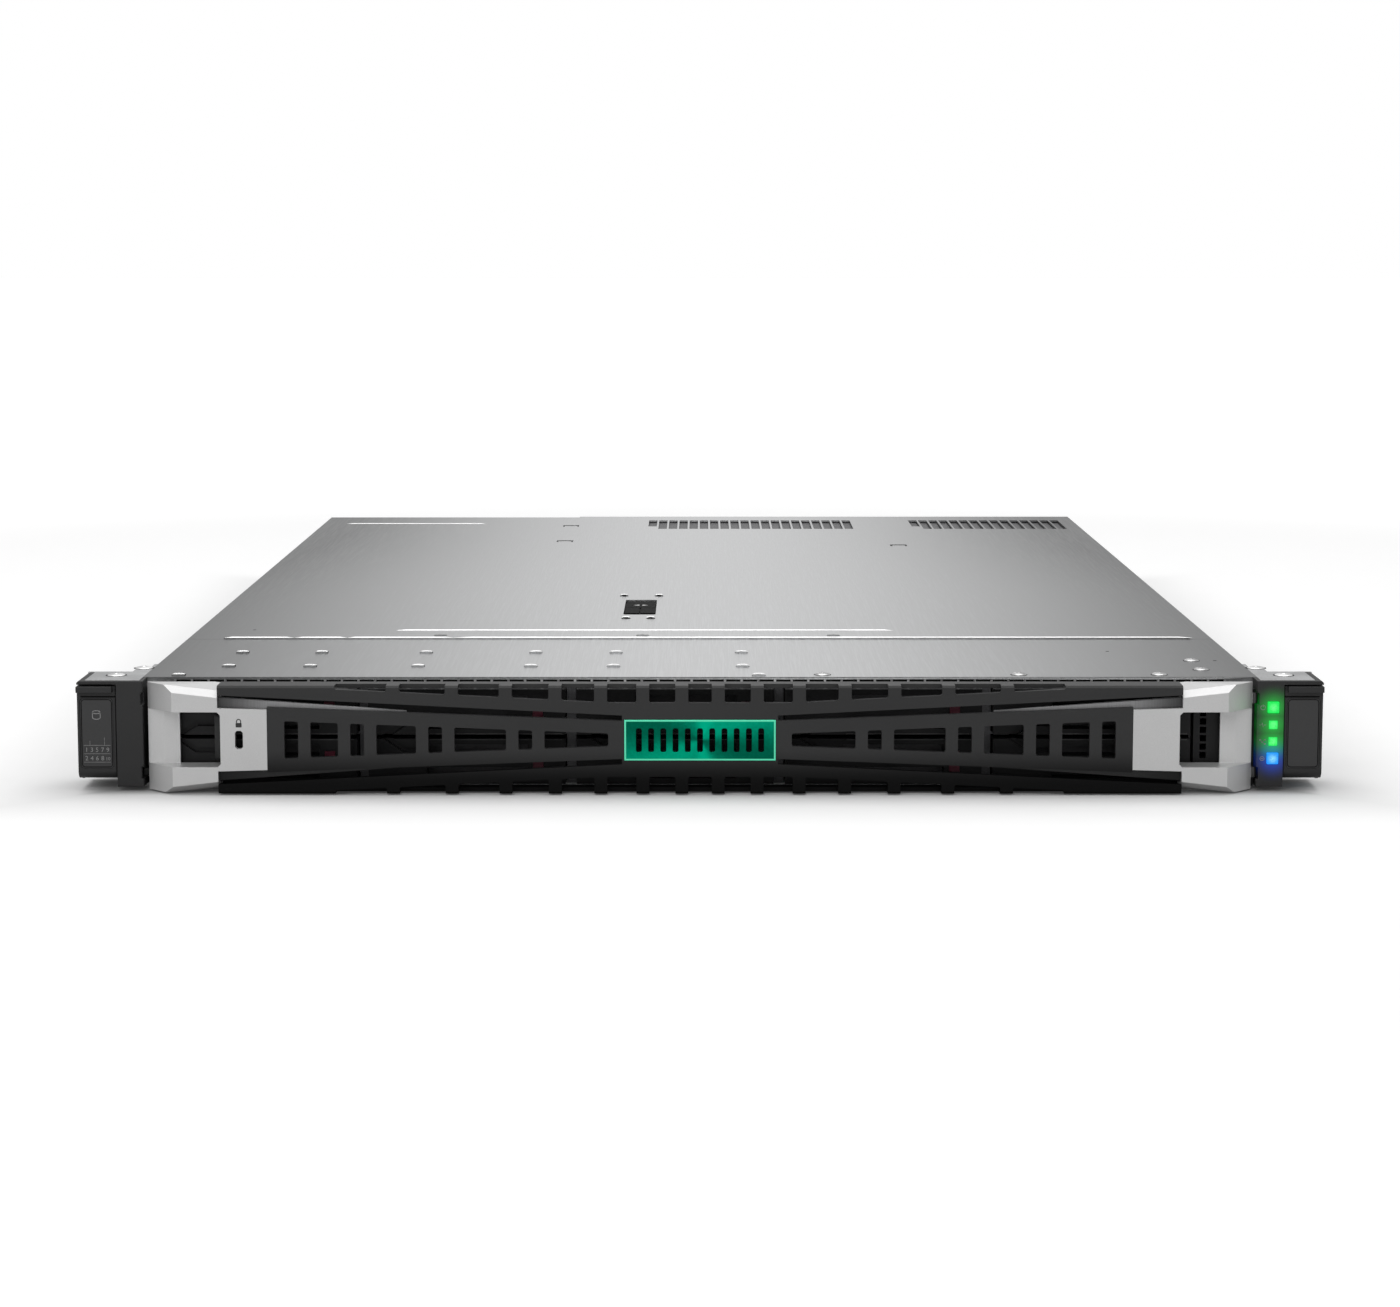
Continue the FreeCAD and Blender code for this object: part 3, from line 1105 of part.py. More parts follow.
def fan_frame(index):
    """Square frame with a round duct, and a motor on a three-arm spider at the back."""
    x = fan_x(index)
    half = FAN_SIZE / 2
    back = FAN_FRONT + FAN_DEPTH
    frame = block(x - half, x + half, FAN_FRONT, back, SHEET, SHEET + FAN_SIZE - FIT)
    frame = frame.cut(rod(FAN_BORE_RADIUS, (x, FAN_FRONT, FAN_AXIS_Z), (0, 1, 0), FAN_DEPTH))
    spider_y = back - FAN_SPIDER_DEPTH
    strut = block(-FAN_STRUT_WIDTH / 2, FAN_STRUT_WIDTH / 2, spider_y, back, 0, FAN_BORE_RADIUS + FIT)
    pieces = [fan_drum(index, FAN_HUB_RADIUS, spider_y, back)]
    for turn in range(3):
        arm = strut.copy()
        arm.rotate(Vector(0, 0, 0), Vector(0, 1, 0), FAN_STRUT_TURN + 120 * turn)
        arm.translate(Vector(x, 0, FAN_AXIS_Z))
        pieces.append(arm)
    return frame.fuse(pieces).removeSplitter()


def fan_blade():
    """Pitched flat blade from hub to tip, standing up from an axis through the origin along Y."""
    root = FAN_HUB_RADIUS - 2 * SHEET
    reach = FAN_BORE_RADIUS - FAN_TIP_GAP
    sweep = BLADE_TIP / 2 * math.sin(math.radians(abs(BLADE_PITCH))) + BLADE_THICKNESS
    tip = math.sqrt(reach ** 2 - sweep ** 2)
    blade = Part.Face(Part.makePolygon([
        Vector(-BLADE_THICKNESS / 2, -BLADE_ROOT / 2, root),
                                        Vector(-BLADE_THICKNESS / 2, BLADE_ROOT / 2, root),
        Vector(-BLADE_THICKNESS / 2, BLADE_TIP / 2, tip), Vector(-BLADE_THICKNESS / 2, -BLADE_TIP / 2, tip),
        Vector(-BLADE_THICKNESS / 2, -BLADE_ROOT / 2, root)])).extrude(Vector(BLADE_THICKNESS, 0, 0))
    blade.rotate(Vector(0, 0, 0), Vector(0, 0, 1), BLADE_PITCH)
    return blade


def fan_rotor(index):
    """Hub that turns on the front of the motor, with pitched blades."""
    hub_back = FAN_FRONT + FAN_DEPTH - FAN_SPIDER_DEPTH
    hub_front = hub_back - FAN_HUB_LENGTH
    pieces = []
    for turn in range(FAN_BLADES):
        blade = fan_blade()
        blade.rotate(Vector(0, 0, 0), Vector(0, 1, 0), 360 * turn / FAN_BLADES)
        blade.translate(Vector(fan_x(index), hub_front + FAN_HUB_LENGTH / 2, FAN_AXIS_Z))
        pieces.append(blade)
    return fan_drum(index, FAN_HUB_RADIUS, hub_front, hub_back).fuse(pieces).removeSplitter()


# System board and what stands on it

def board_inner_x():
    """Left side of the board's rear part, which runs beside the power supplies."""
    return psu_x(1) + PSU_WIDTH + 2 * PSU_SIDE_GAP + 3 * SHEET


def module_places():
    """Middle of every memory module, on both sides of the processor."""
    right = [MODULE_FIRST + index * MODULE_PITCH for index in range(MODULES_PER_SIDE)]
    return [-x for x in right] + right


def system_board():
    """L-shaped board with the processor socket and the memory sockets."""
    back = REAR_WALL - SHEET
    side = BOARD_HALF_WIDTH
    inner = board_inner_x()
    board = prism_z([(-side, BOARD_FRONT), (side, BOARD_FRONT), (side, back), (inner, back),
                     (inner, BOARD_SHOULDER), (-side, BOARD_SHOULDER)], BOARD_BOTTOM, BOARD_TOP)
    middle = SINK_FRONT + SINK_LENGTH / 2
    socket = block(-SINK_HALF_WIDTH * 2 / 3, SINK_HALF_WIDTH * 2 / 3, middle - SINK_LENGTH / 3,
                   middle + SINK_LENGTH / 3, BOARD_TOP, BOARD_TOP + SOCKET_HEIGHT)
    sockets = [socket]
    half = MODULE_SOCKET_WIDTH / 2
    for x in module_places():
        sockets.append(block(x - half, x + half, MODULE_FRONT - half, MODULE_FRONT + MODULE_LENGTH + half,
                             BOARD_TOP, BOARD_TOP + MODULE_SOCKET_HEIGHT))
    return board.fuse(sockets).cut([memory_module(x) for x in module_places()])


def memory_module(x):
    """Upright memory board, seated in its socket."""
    return block(x - MODULE_THICKNESS / 2, x + MODULE_THICKNESS / 2, MODULE_FRONT,
                 MODULE_FRONT + MODULE_LENGTH,
                 BOARD_TOP + MODULE_SEAT, module_top())


def module_top():
    """Height up to which pieces stand under the air baffle."""
    return INSIDE_TOP - BAFFLE_WALL - FIT


def cpu_heatsink():
    """Finned block on the processor socket."""
    base_bottom = BOARD_TOP + SOCKET_HEIGHT
    half = SINK_HALF_WIDTH
    sink = block(-half, half, SINK_FRONT, SINK_FRONT + SINK_LENGTH, base_bottom, base_bottom + SINK_BASE)
    pitch = (2 * half - SINK_FIN) / (SINK_FINS - 1)
    fins = []
    for index in range(SINK_FINS):
        x = -half + index * pitch
        fins.append(block(x, x + SINK_FIN, SINK_FRONT, SINK_FRONT + SINK_LENGTH, base_bottom + SINK_BASE,
                          module_top()))
    return sink.fuse(fins).removeSplitter()


def air_baffle():
    """Plastic hood that keeps the fans' air on the processor and the memory."""
    half = BAFFLE_HALF_WIDTH
    back = BAFFLE_FRONT + BAFFLE_LENGTH
    hood = block(-half, half, BAFFLE_FRONT, back, BOARD_TOP, INSIDE_TOP)
    return hood.cut(block(-half + BAFFLE_WALL, half - BAFFLE_WALL, BAFFLE_FRONT, back, BOARD_TOP,
                          INSIDE_TOP - BAFFLE_WALL))


# Rear side

def riser_cage(left, right):
    """Folded bracket over a card bay: top plate, side walls and a frame in the rear wall."""
    top = COVER_UNDER - RISER_GAP
    front = REAR_WALL - RISER_LENGTH
    plate = block(left, right, front, REAR_WALL, top - SHEET, top)
    frame = block(left + FIT * 2, right - FIT * 2, REAR_WALL - SHEET, REAR_WALL, RISER_BOTTOM + FIT, top)
    side = block(left, left + SHEET, front, REAR_WALL - SHEET, BOARD_TOP, top)
    other = block(right - SHEET, right, front, REAR_WALL - SHEET, BOARD_TOP, top)
    cage = plate.cut(block(left, right, REAR_WALL - SHEET, REAR_WALL, 0, BIG)).fuse([frame, side, other])
    width = (right - left) / BLANKS_PER_BAY
    cuts = []
    for index in range(BLANKS_PER_BAY):
        x = left + index * width
        cuts.append(block(x + BLANK_BORDER, x + width - BLANK_BORDER, REAR_WALL - SHEET, REAR_WALL,
                          RISER_BOTTOM + BLANK_BORDER, top - BLANK_BORDER))
    return cage.removeSplitter().cut(cuts)


def slot_blanks():
    """Vented blanks screwed over the empty card slots."""
    blanks = []
    top = COVER_UNDER - RISER_GAP
    for left, right in RISER_BAYS:
        width = (right - left) / BLANKS_PER_BAY
        for index in range(BLANKS_PER_BAY):
            x0 = left + index * width + SHEET
            x1 = x0 + width - 2 * SHEET
            blank = block(x0, x1, REAR_WALL, REAR_WALL + BLANK_THICKNESS, RISER_BOTTOM + SHEET, top - SHEET)
            slots = []
            count = int((x1 - x0 - 2 * BLANK_BORDER) // BLANK_SLOT_PITCH)
            for slot in range(count):
                x = x0 + BLANK_BORDER + slot * BLANK_SLOT_PITCH
                slots.append(block(x, x + BLANK_SLOT_WIDTH, REAR_WALL, REAR_WALL + BLANK_THICKNESS,
                                   RISER_BOTTOM + 2 * BLANK_BORDER, top - 2 * BLANK_BORDER))
            blanks.append(blank.cut(slots))
    return blanks


def rear_port(x, width, height):
    """Open connector shell on the board, reaching through the rear wall."""
    outer = block(x - width / 2 - PORT_WALL, x + width / 2 + PORT_WALL, REAR_WALL - PORT_DEPTH,
                  REAR_WALL + PORT_WALL, BOARD_TOP, BOARD_TOP + height + 2 * PORT_WALL)
    return outer.cut(block(x - width / 2, x + width / 2, REAR_WALL - PORT_DEPTH + PORT_WALL,
                           REAR_WALL + PORT_WALL,
                           BOARD_TOP + PORT_WALL, BOARD_TOP + PORT_WALL + height))


def port_plate():
    """Thin plate over the ports' notch in the rear wall."""
    plate = port_area(PORT_WINDOW_MARGIN + PORT_PLATE_LAP, REAR_WALL, REAR_WALL + SHEET, FIT,
                      COVER_UNDER - FIT)
    return plate.cut([port_cut(x, width + 2 * PORT_WALL, height + 2 * PORT_WALL, FIT)
                      for x, width, height in PORTS])


def psu_cage():
    """Upright sheet walls beside the power supplies."""
    walls = []
    for index in range(1, 3):
        left = psu_x(index) - PSU_SIDE_GAP - SHEET
        walls.append(block(left, left + SHEET, PSU_REAR - PSU_LENGTH, REAR_WALL - SHEET, SHEET,
                           SHEET + PSU_HEIGHT + PSU_SIDE_GAP))
    return walls


def inlet_space(left):
    """Cavity of a power inlet."""
    x = left + INLET_X
    return block(x - INLET_WIDTH / 2, x + INLET_WIDTH / 2, PSU_REAR + PSU_FACE - INLET_DEPTH,
                 PSU_REAR + PSU_FACE,
                 PSU_MID_Z - INLET_HEIGHT / 2, PSU_MID_Z + INLET_HEIGHT / 2)


def inlet_body(left):
    """Outer block of a power inlet, inside the case."""
    x = left + INLET_X
    return block(x - INLET_WIDTH / 2 - INLET_WALL, x + INLET_WIDTH / 2 + INLET_WALL,
                 PSU_REAR + PSU_FACE - INLET_DEPTH - INLET_WALL, PSU_REAR,
                 PSU_MID_Z - INLET_HEIGHT / 2 - INLET_WALL,
                 PSU_MID_Z + INLET_HEIGHT / 2 + INLET_WALL)


def psu_case(index):
    """Metal case with the inlet's space and the tab's slot cut out."""
    left = psu_x(index)
    case = block(left, left + PSU_WIDTH, PSU_REAR - PSU_LENGTH, PSU_REAR, SHEET, SHEET + PSU_HEIGHT)
    return case.cut([inlet_body(left), tab_space(left)])


def tab_space(left):
    """Room in which the release tab moves sideways."""
    x = left + TAB_X
    return block(x - TAB_TRAVEL - FIT, x + TAB_WIDTH + FIT, PSU_REAR - 2 * PSU_FACE, PSU_REAR + PSU_FACE,
                 PSU_MID_Z - TAB_HEIGHT / 2 - FIT, PSU_MID_Z + TAB_HEIGHT / 2 + FIT)


def psu_face(index):
    """Rear face in one moulding with the power inlet, its pins and the pull handle."""
    left = psu_x(index)
    face = block(left, left + PSU_WIDTH, PSU_REAR, PSU_REAR + PSU_FACE, SHEET, SHEET + PSU_HEIGHT)
    x = left + HANDLE_X
    back = PSU_REAR + PSU_FACE + HANDLE_REACH
    half = HANDLE_HEIGHT / 2
    loop = rounded_bar(rectangle(PSU_REAR - HANDLE_RADIUS, back, PSU_MID_Z - half, PSU_MID_Z + half),
                   x - HANDLE_BAR / 2, x + HANDLE_BAR / 2, HANDLE_RADIUS)
    inner = half - HANDLE_BAR
    gap = rounded_bar(rectangle(PSU_REAR - HANDLE_RADIUS - HANDLE_BAR, back - HANDLE_BAR, PSU_MID_Z - inner,
                            PSU_MID_Z + inner), x - HANDLE_BAR, x + HANDLE_BAR, HANDLE_RADIUS / 2)
    loop = loop.cut([gap, block(left, left + PSU_WIDTH, PSU_REAR - BIG, PSU_REAR, -BIG, BIG)])
    whole = face.fuse([inlet_body(left), loop]).cut([inlet_space(left), tab_space(left)])
    floor = PSU_REAR + PSU_FACE - INLET_DEPTH - INLET_WALL / 2
    middle = left + INLET_X
    pins = []
    for offset, lift in ((-PIN_SPACING / 2, -1), (PIN_SPACING / 2, -1), (0, PIN_HEIGHT - 1)):
        low = PSU_MID_Z + lift - PIN_HEIGHT / 2
        pins.append(block(middle + offset - PIN_WIDTH / 2, middle + offset + PIN_WIDTH / 2, floor,
                          PSU_REAR - PSU_FACE / 2, low, low + PIN_HEIGHT))
    return whole.removeSplitter().fuse(pins)


def psu_tab(index):
    """Sprung release tab beside the handle."""
    left = psu_x(index) + TAB_X
    half = TAB_HEIGHT / 2
    return prism_z([(left, PSU_REAR - 2 * PSU_FACE + FIT), (left + TAB_WIDTH, PSU_REAR - 2 * PSU_FACE + FIT),
                    (left + TAB_WIDTH, PSU_REAR + TAB_REACH), (left + TAB_WIDTH / 2, PSU_REAR + TAB_REACH),
                    (left, PSU_REAR + 2 * PSU_FACE)], PSU_MID_Z - half, PSU_MID_Z + half)


def save_body():
    """The fixed body and its covers."""
    save("chassis_tray", chassis_tray())
    save("front_cover", front_cover())
    save("rivets", *rivets())
    save("rail_studs", *rail_studs())
    save("access_panel", access_panel())
    save("latch_cup", latch_cup())
    save("panel_latch", panel_latch())


def save_drives():
    """Cage, backplane, carriers, drives and the panel beside them."""
    bays = [(column, row) for column in range(BAY_COLUMNS) for row in range(BAY_ROWS)]
    save("drive_cage", drive_cage())
    save("drive_backplane", drive_backplane())
    save("front_port_panel", front_port_panel())
    save("disk_drives", *[disk(column, row) for column, row in bays])
    save("drive_releases", *[release_tab(column, row) for column, row in bays])
    for number, (column, row) in enumerate(bays, 1):
        save("drive_carrier_" + str(number), drive_carrier(column, row))


def save_ears():
    """Rack ears with their doors, screws, buttons and lamps."""
    bracket = ear_bracket()
    door = ear_latch()
    screw = rack_screw()
    save("right_ear_bracket", bracket)
    save("left_ear_bracket", side_mirror(bracket))
    save("right_ear_housing", ear_housing(indicator_pockets()))
    save("left_ear_housing", side_mirror(ear_housing([])))
    save("right_ear_latch", door)
    save("left_ear_latch", side_mirror(door))
    save("rack_screws", screw, side_mirror(screw))
    save("power_button", push_button(POWER_HEIGHT))
    save("id_button", push_button(ID_HEIGHT))
    save("status_lamps", status_lamp(HEALTH_HEIGHT), status_lamp(NETWORK_HEIGHT))


def save_bezel():
    """Front bezel and its release."""
    save("bezel_grille", bezel_grille())
    save("bezel_center_insert", bezel_center_insert())
    save("bezel_trim_bars", *four_ways([bezel_trim_bar()]))
    save("bezel_right_handle", right_handle())
    save("bezel_left_handle", left_handle())
    save("bezel_release", bezel_release())


def save_inside():
    """Fans, board, cards and power supplies."""
    save("fan_frames", *[fan_frame(index) for index in range(FAN_COUNT)])
    for index in range(FAN_COUNT):
        save("fan_rotor_" + str(index + 1), fan_rotor(index))
    save("system_board", system_board())
    save("cpu_heatsink", cpu_heatsink())
    save("memory_modules", *[memory_module(x) for x in module_places()])
    save("air_baffle", air_baffle())
    save("riser_cages", *[riser_cage(left, right) for left, right in RISER_BAYS])
    save("slot_blanks", *slot_blanks())
    save("rear_ports", port_plate(), *[rear_port(*port) for port in PORTS])
    save("psu_cage", *psu_cage())
    for index in range(2):
        name = "psu_" + str(index + 1)
        save(name + "_case", psu_case(index))
        save(name + "_face", psu_face(index))
        save(name + "_tab", psu_tab(index))


os.makedirs("parts", exist_ok=True)
save_body()
save_drives()
save_ears()
save_bezel()
save_inside()
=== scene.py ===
"""Finishes and small detail for a rack server one unit high. Lengths are in metres, in the model's frame."""
import math
import bpy
import numpy as np
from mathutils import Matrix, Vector


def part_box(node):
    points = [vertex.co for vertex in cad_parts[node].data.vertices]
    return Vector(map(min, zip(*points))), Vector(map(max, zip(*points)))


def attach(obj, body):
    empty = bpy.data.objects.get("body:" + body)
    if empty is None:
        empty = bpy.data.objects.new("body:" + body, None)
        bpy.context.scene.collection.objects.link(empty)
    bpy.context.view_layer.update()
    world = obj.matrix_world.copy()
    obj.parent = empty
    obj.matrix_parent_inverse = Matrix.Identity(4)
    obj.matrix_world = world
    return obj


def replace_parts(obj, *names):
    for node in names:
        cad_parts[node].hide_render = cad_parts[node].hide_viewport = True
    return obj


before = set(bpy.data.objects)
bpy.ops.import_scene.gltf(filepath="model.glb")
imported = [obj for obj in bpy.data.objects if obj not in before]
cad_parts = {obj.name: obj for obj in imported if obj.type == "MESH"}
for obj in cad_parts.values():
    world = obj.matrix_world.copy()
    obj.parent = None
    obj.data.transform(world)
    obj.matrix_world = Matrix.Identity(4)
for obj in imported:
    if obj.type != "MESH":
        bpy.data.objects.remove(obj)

MM = 0.001
BAYS = range(1, 11)
FANS = range(1, 8)
SUPPLIES = range(1, 3)
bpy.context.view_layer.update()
DRIVE_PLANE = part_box("drive_carrier_1")[0][1]
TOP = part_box("left_ear_bracket")[1][2]
scene = bpy.context.scene


# Camera: on the middle line, by its distance from the drive fronts, height over the floor and downward tilt

CAMERA_DISTANCE, CAMERA_HEIGHT, CAMERA_TILT = 1.3115, 0.225, 7.47
camera_data = bpy.data.cameras.new("camera")
camera_data.sensor_fit = "HORIZONTAL"
camera_data.sensor_width = 36.0
camera_data.lens = 87.74
camera_data.clip_start = 0.05
camera_data.clip_end = 60.0
camera = bpy.data.objects.new("camera", camera_data)
camera.location = (0.0, DRIVE_PLANE - CAMERA_DISTANCE, CAMERA_HEIGHT)
camera.rotation_euler = (math.radians(90.0 - CAMERA_TILT), 0.0, 0.0)
scene.collection.objects.link(camera)
scene.camera = camera
scene.view_settings.view_transform = "Standard"


# Shader maths

class Value:
    """A socket of a material whose operators add Math nodes."""

    def __init__(self, finish, socket):
        self.finish = finish
        self.socket = socket

    def _math(self, operation, first, second=None):
        """Adds one Math node with one or two inputs."""
        inputs = {0: first} if second is None else {0: first, 1: second}
        return self.finish.add("ShaderNodeMath", {"operation": operation}, inputs)

    def __add__(self, other): return self._math("ADD", self, other)
    def __radd__(self, other): return self._math("ADD", other, self)
    def __sub__(self, other): return self._math("SUBTRACT", self, other)
    def __rsub__(self, other): return self._math("SUBTRACT", other, self)
    def __mul__(self, other): return self._math("MULTIPLY", self, other)
    def __gt__(self, other): return self._math("GREATER_THAN", self, other)
    def __lt__(self, other): return self._math("LESS_THAN", self, other)
    def absolute(self): return self._math("ABSOLUTE", self)
    def fraction(self): return self._math("FRACT", self)
    def power(self, other): return self._math("POWER", self, other)
    def maximum(self, other): return self._math("MAXIMUM", self, other)
    def minimum(self, other): return self._math("MINIMUM", self, other)
    def sine(self): return self._math("SINE", self)

    def step(self, low, high):
        """0 below low, 1 above high, smooth between."""
        settings = {"interpolation_type": "SMOOTHSTEP"}
        return self.finish.add("ShaderNodeMapRange", settings, {0: self, 1: low, 2: high, 3: 0.0, 4: 1.0})


class Finish:
    """A procedural material built round one Principled shader."""

    def __init__(self, name, color, roughness, metallic=0.0, **constants):
        self.material = bpy.data.materials.new(name)
        self.material.use_nodes = True
        self.tree = self.material.node_tree
        self.tree.nodes.clear()
        self.output = self.tree.nodes.new("ShaderNodeOutputMaterial")
        self.shader = self.tree.nodes.new("ShaderNodeBsdfPrincipled")
        self.tree.links.new(self.shader.outputs[0], self.output.inputs[0])
        self.shader.inputs["Base Color"].default_value = (*color, 1.0)
        self.shader.inputs["Roughness"].default_value = roughness
        self.shader.inputs["Metallic"].default_value = metallic
        for socket, constant in constants.items():
            self.shader.inputs[socket.replace("_", " ")].default_value = constant

    def add(self, kind, settings, inputs, output=0):
        """Adds one node: its settings first, then the values or links of its sockets."""
        node = self.tree.nodes.new(kind)
        for setting, choice in settings.items():
            setattr(node, setting, choice)
        for socket, given in inputs.items():
            if isinstance(given, Value):
                self.tree.links.new(given.socket, node.inputs[socket])
            else:
                node.inputs[socket].default_value = given
        return Value(self, node.outputs[output])

    def feed(self, socket, value):
        """Links a value to a socket of the shader."""
        self.tree.links.new(value.socket, self.shader.inputs[socket])

    def place(self):
        """The place on the piece, in metres."""
        return self.add("ShaderNodeTexCoord", {}, {}, "Object")

    def stretched(self, scale):
        """The place on the piece, times a different scale along x, y and z."""
        return self.add("ShaderNodeVectorMath", {"operation": "MULTIPLY"}, {0: self.place(), 1: scale})

    def axes(self, vector=None):
        """x, y and z of a vector, or of the place on the piece."""
        vector = vector or self.place()
        return [self.add("ShaderNodeSeparateXYZ", {}, {0: vector}, axis) for axis in range(3)]

    def noise(self, scale, detail=2.0, roughness=0.5):
        """Noise from 0 to 1, with scale in cycles per metre along x, y and z."""
        scale = scale if isinstance(scale, tuple) else (scale, scale, scale)
        inputs = {"Vector": self.stretched(scale), "Scale": 1.0, "Detail": detail, "Roughness": roughness}
        return self.add("ShaderNodeTexNoise", {}, inputs, "Fac")

    def blend(self, first, second, factor):
        """Colour between first, at 0, and second, at 1."""
        settings = {"data_type": "RGBA", "clamp_factor": True}
        return self.add("ShaderNodeMix", settings, {0: factor, 6: rgba(first), 7: rgba(second)}, 2)

    def dull(self, color, share):
        """Mixes a share of plain matt colour over the shader, to take its sheen away."""
        matt = self.add("ShaderNodeBsdfDiffuse", {}, {0: rgba(color)})
        glossy = Value(self, self.shader.outputs[0])
        mixed = self.add("ShaderNodeMixShader", {}, {0: share, 1: glossy, 2: matt})
        self.tree.links.new(mixed.socket, self.output.inputs[0])

    def bump(self, height, depth, strength=1.0):
        """Raises the surface by height, from 0 to 1, times depth in metres."""
        inputs = {"Height": height, "Distance": depth, "Strength": strength}
        self.feed("Normal", self.add("ShaderNodeBump", {}, inputs))


def rgba(color):
    """A colour with full cover, or the socket it comes from."""
    return color if isinstance(color, Value) else (*color, 1.0)


def shade(color, factor):
    """A colour made darker or lighter by a factor."""
    return tuple(min(1.0, channel * factor) for channel in color)


# Finishes

def brushed_sheet(name, color, along, rough=0.34, coarse=1.0, painted_dim=None):
    """Brushed steel: long streaks along one axis in colour, gloss and height.

    With a dim level, the level top darkens toward its left and right edges as a painted reflection falloff, with
    the square of the distance, and more at the back than at the front, and matt colour dulls its sheen there. It
    goes at most seven tenths of the way to the dim level times the colour.
    """
    finish = Finish(name, color, rough, 1.0)
    fine = [2600.0, 2600.0, 2600.0]
    broad = [700.0, 700.0, 700.0]
    fine[along] = 38.0
    broad[along] = 16.0
    streak = finish.noise(tuple(number * coarse for number in fine), 3.0, 0.6)
    wide = finish.noise(tuple(number * coarse for number in broad), 2.0)
    mark = streak * 0.65 + wide * 0.35
    level = mark.step(0.36, 0.64)
    tint = finish.blend(shade(color, 0.78), shade(color, 1.16), level)
    # Painted reflection: the level top darkens and dulls toward its side edges
    if painted_dim:
        x, y, z = finish.axes()
        level_top = z.step(0.0405, 0.0425)
        edge = (x * x * (13.0 + y.step(-0.1, 0.3) * 5.0)).minimum(0.7) * level_top
        tint = finish.blend(tint, shade(color, painted_dim), edge)
        finish.dull(shade(color, painted_dim), edge * 0.5)
    finish.feed("Base Color", tint)
    finish.feed("Roughness", rough - 0.07 + level * 0.12)
    finish.bump(streak, 0.00004, 0.7)
    return finish.material


def trim_strip(name, color):
    """Dark brushed strip with cross streaks.

    Seen from the front it is brightest in mid-length, a painted reflection, and nearly black below the middle,
    painted shade.
    """
    finish = Finish(name, color, 0.42, 0.75)
    x, _, z = finish.axes()
    streak = finish.noise((2600.0, 300.0, 60.0), 3.0, 0.6)
    # Painted reflection along the length, and painted shade below the middle
    painted_end_fade = 1.0 - x.absolute().step(0.160, 0.188)
    painted_middle_fade = x.absolute().step(0.112, 0.135) * 0.5 + 0.5
    painted_shade_below = z.step(0.016, 0.024) * 0.93 + 0.07
    level = (streak * 0.5 + 0.55) * (painted_end_fade * 0.85 + 0.15) * painted_middle_fade * painted_shade_below
    finish.feed("Base Color", finish.blend((0.008, 0.008, 0.008), color, level))
    finish.feed("Roughness", 0.36 + streak * 0.14)
    finish.bump(streak, 0.00003, 0.5)
    return finish.material


def zinc_sheet(name, color, rough=0.42):
    """Galvanised sheet: soft cloudy patches of slightly different grey, with fine scuffs."""
    finish = Finish(name, color, rough, 1.0)
    patch = finish.noise(55.0, 3.0, 0.55)
    grain = finish.noise(1600.0, 2.0)
    level = (patch * 0.6 + grain * 0.4).step(0.36, 0.64)
    finish.feed("Base Color", finish.blend(shade(color, 0.82), shade(color, 1.1), level))
    finish.feed("Roughness", rough - 0.05 + patch * 0.14)
    finish.bump(grain, 0.00002, 0.5)
    return finish.material


def moulded(name, color, rough=0.46, grain=2600.0, depth=0.00004, fade=None, **constants):
    """Moulded plastic: spark-eroded grain, faint flow marks and slightly polished high spots.

    With fade = (low, high, share) it darkens and dulls downwards as painted shade, from its full colour at high
    to a share of it at low.
    """
    finish = Finish(name, color, rough, **constants)
    texture = finish.noise(grain, 2.0, 0.6)
    flow = finish.noise((18.0, 18.0, 45.0), 2.0)
    level = (texture * 0.5 + flow * 0.5).step(0.3, 0.7)
    tint = finish.blend(shade(color, 0.88), shade(color, 1.12), level)
    # Painted shade: darker and duller toward the bottom
    if fade:
        low, high, share = fade
        _, _, z = finish.axes()
        tint = finish.blend(shade(color, share), tint, z.step(low, high))
        finish.dull(shade(color, share * 0.6), (1.0 - z.step(low, high)) * 0.75)
    finish.feed("Base Color", tint)
    finish.feed("Roughness", rough - 0.04 + texture * 0.1)
    finish.bump(texture, depth, 0.5)
    return finish.material


def silver_paint(name, color):
    """Satin silver paint over plastic: metal flake under a clear coat, a little lighter at the foot as painted
    light, and near black as painted shade on what stands past the ends.
    """
    painted_gap_shade_x = 0.2141
    finish = Finish(name, color, 0.38, 0.35, Coat_Weight=0.25, Coat_Roughness=0.3)
    flake = finish.noise(5200.0, 1.0)
    cloud = finish.noise(35.0, 2.0)
    x, _, z = finish.axes()
    tint = finish.blend(shade(color, 0.93), shade(color, 1.05), (flake * 0.6 + cloud * 0.4).step(0.3, 0.7))
    # Painted light: a little lighter toward the foot
    tint = finish.blend(shade(color, 1.05), tint, z.step(0.002, 0.014))
    # Painted shade: near black past the ends, in the gap by the ears
    finish.feed("Base Color", finish.blend(tint, (0.03, 0.03, 0.03), x.absolute() > painted_gap_shade_x))
    finish.feed("Roughness", 0.34 + flake * 0.1)
    finish.bump(flake, 0.00001, 0.4)
    return finish.material


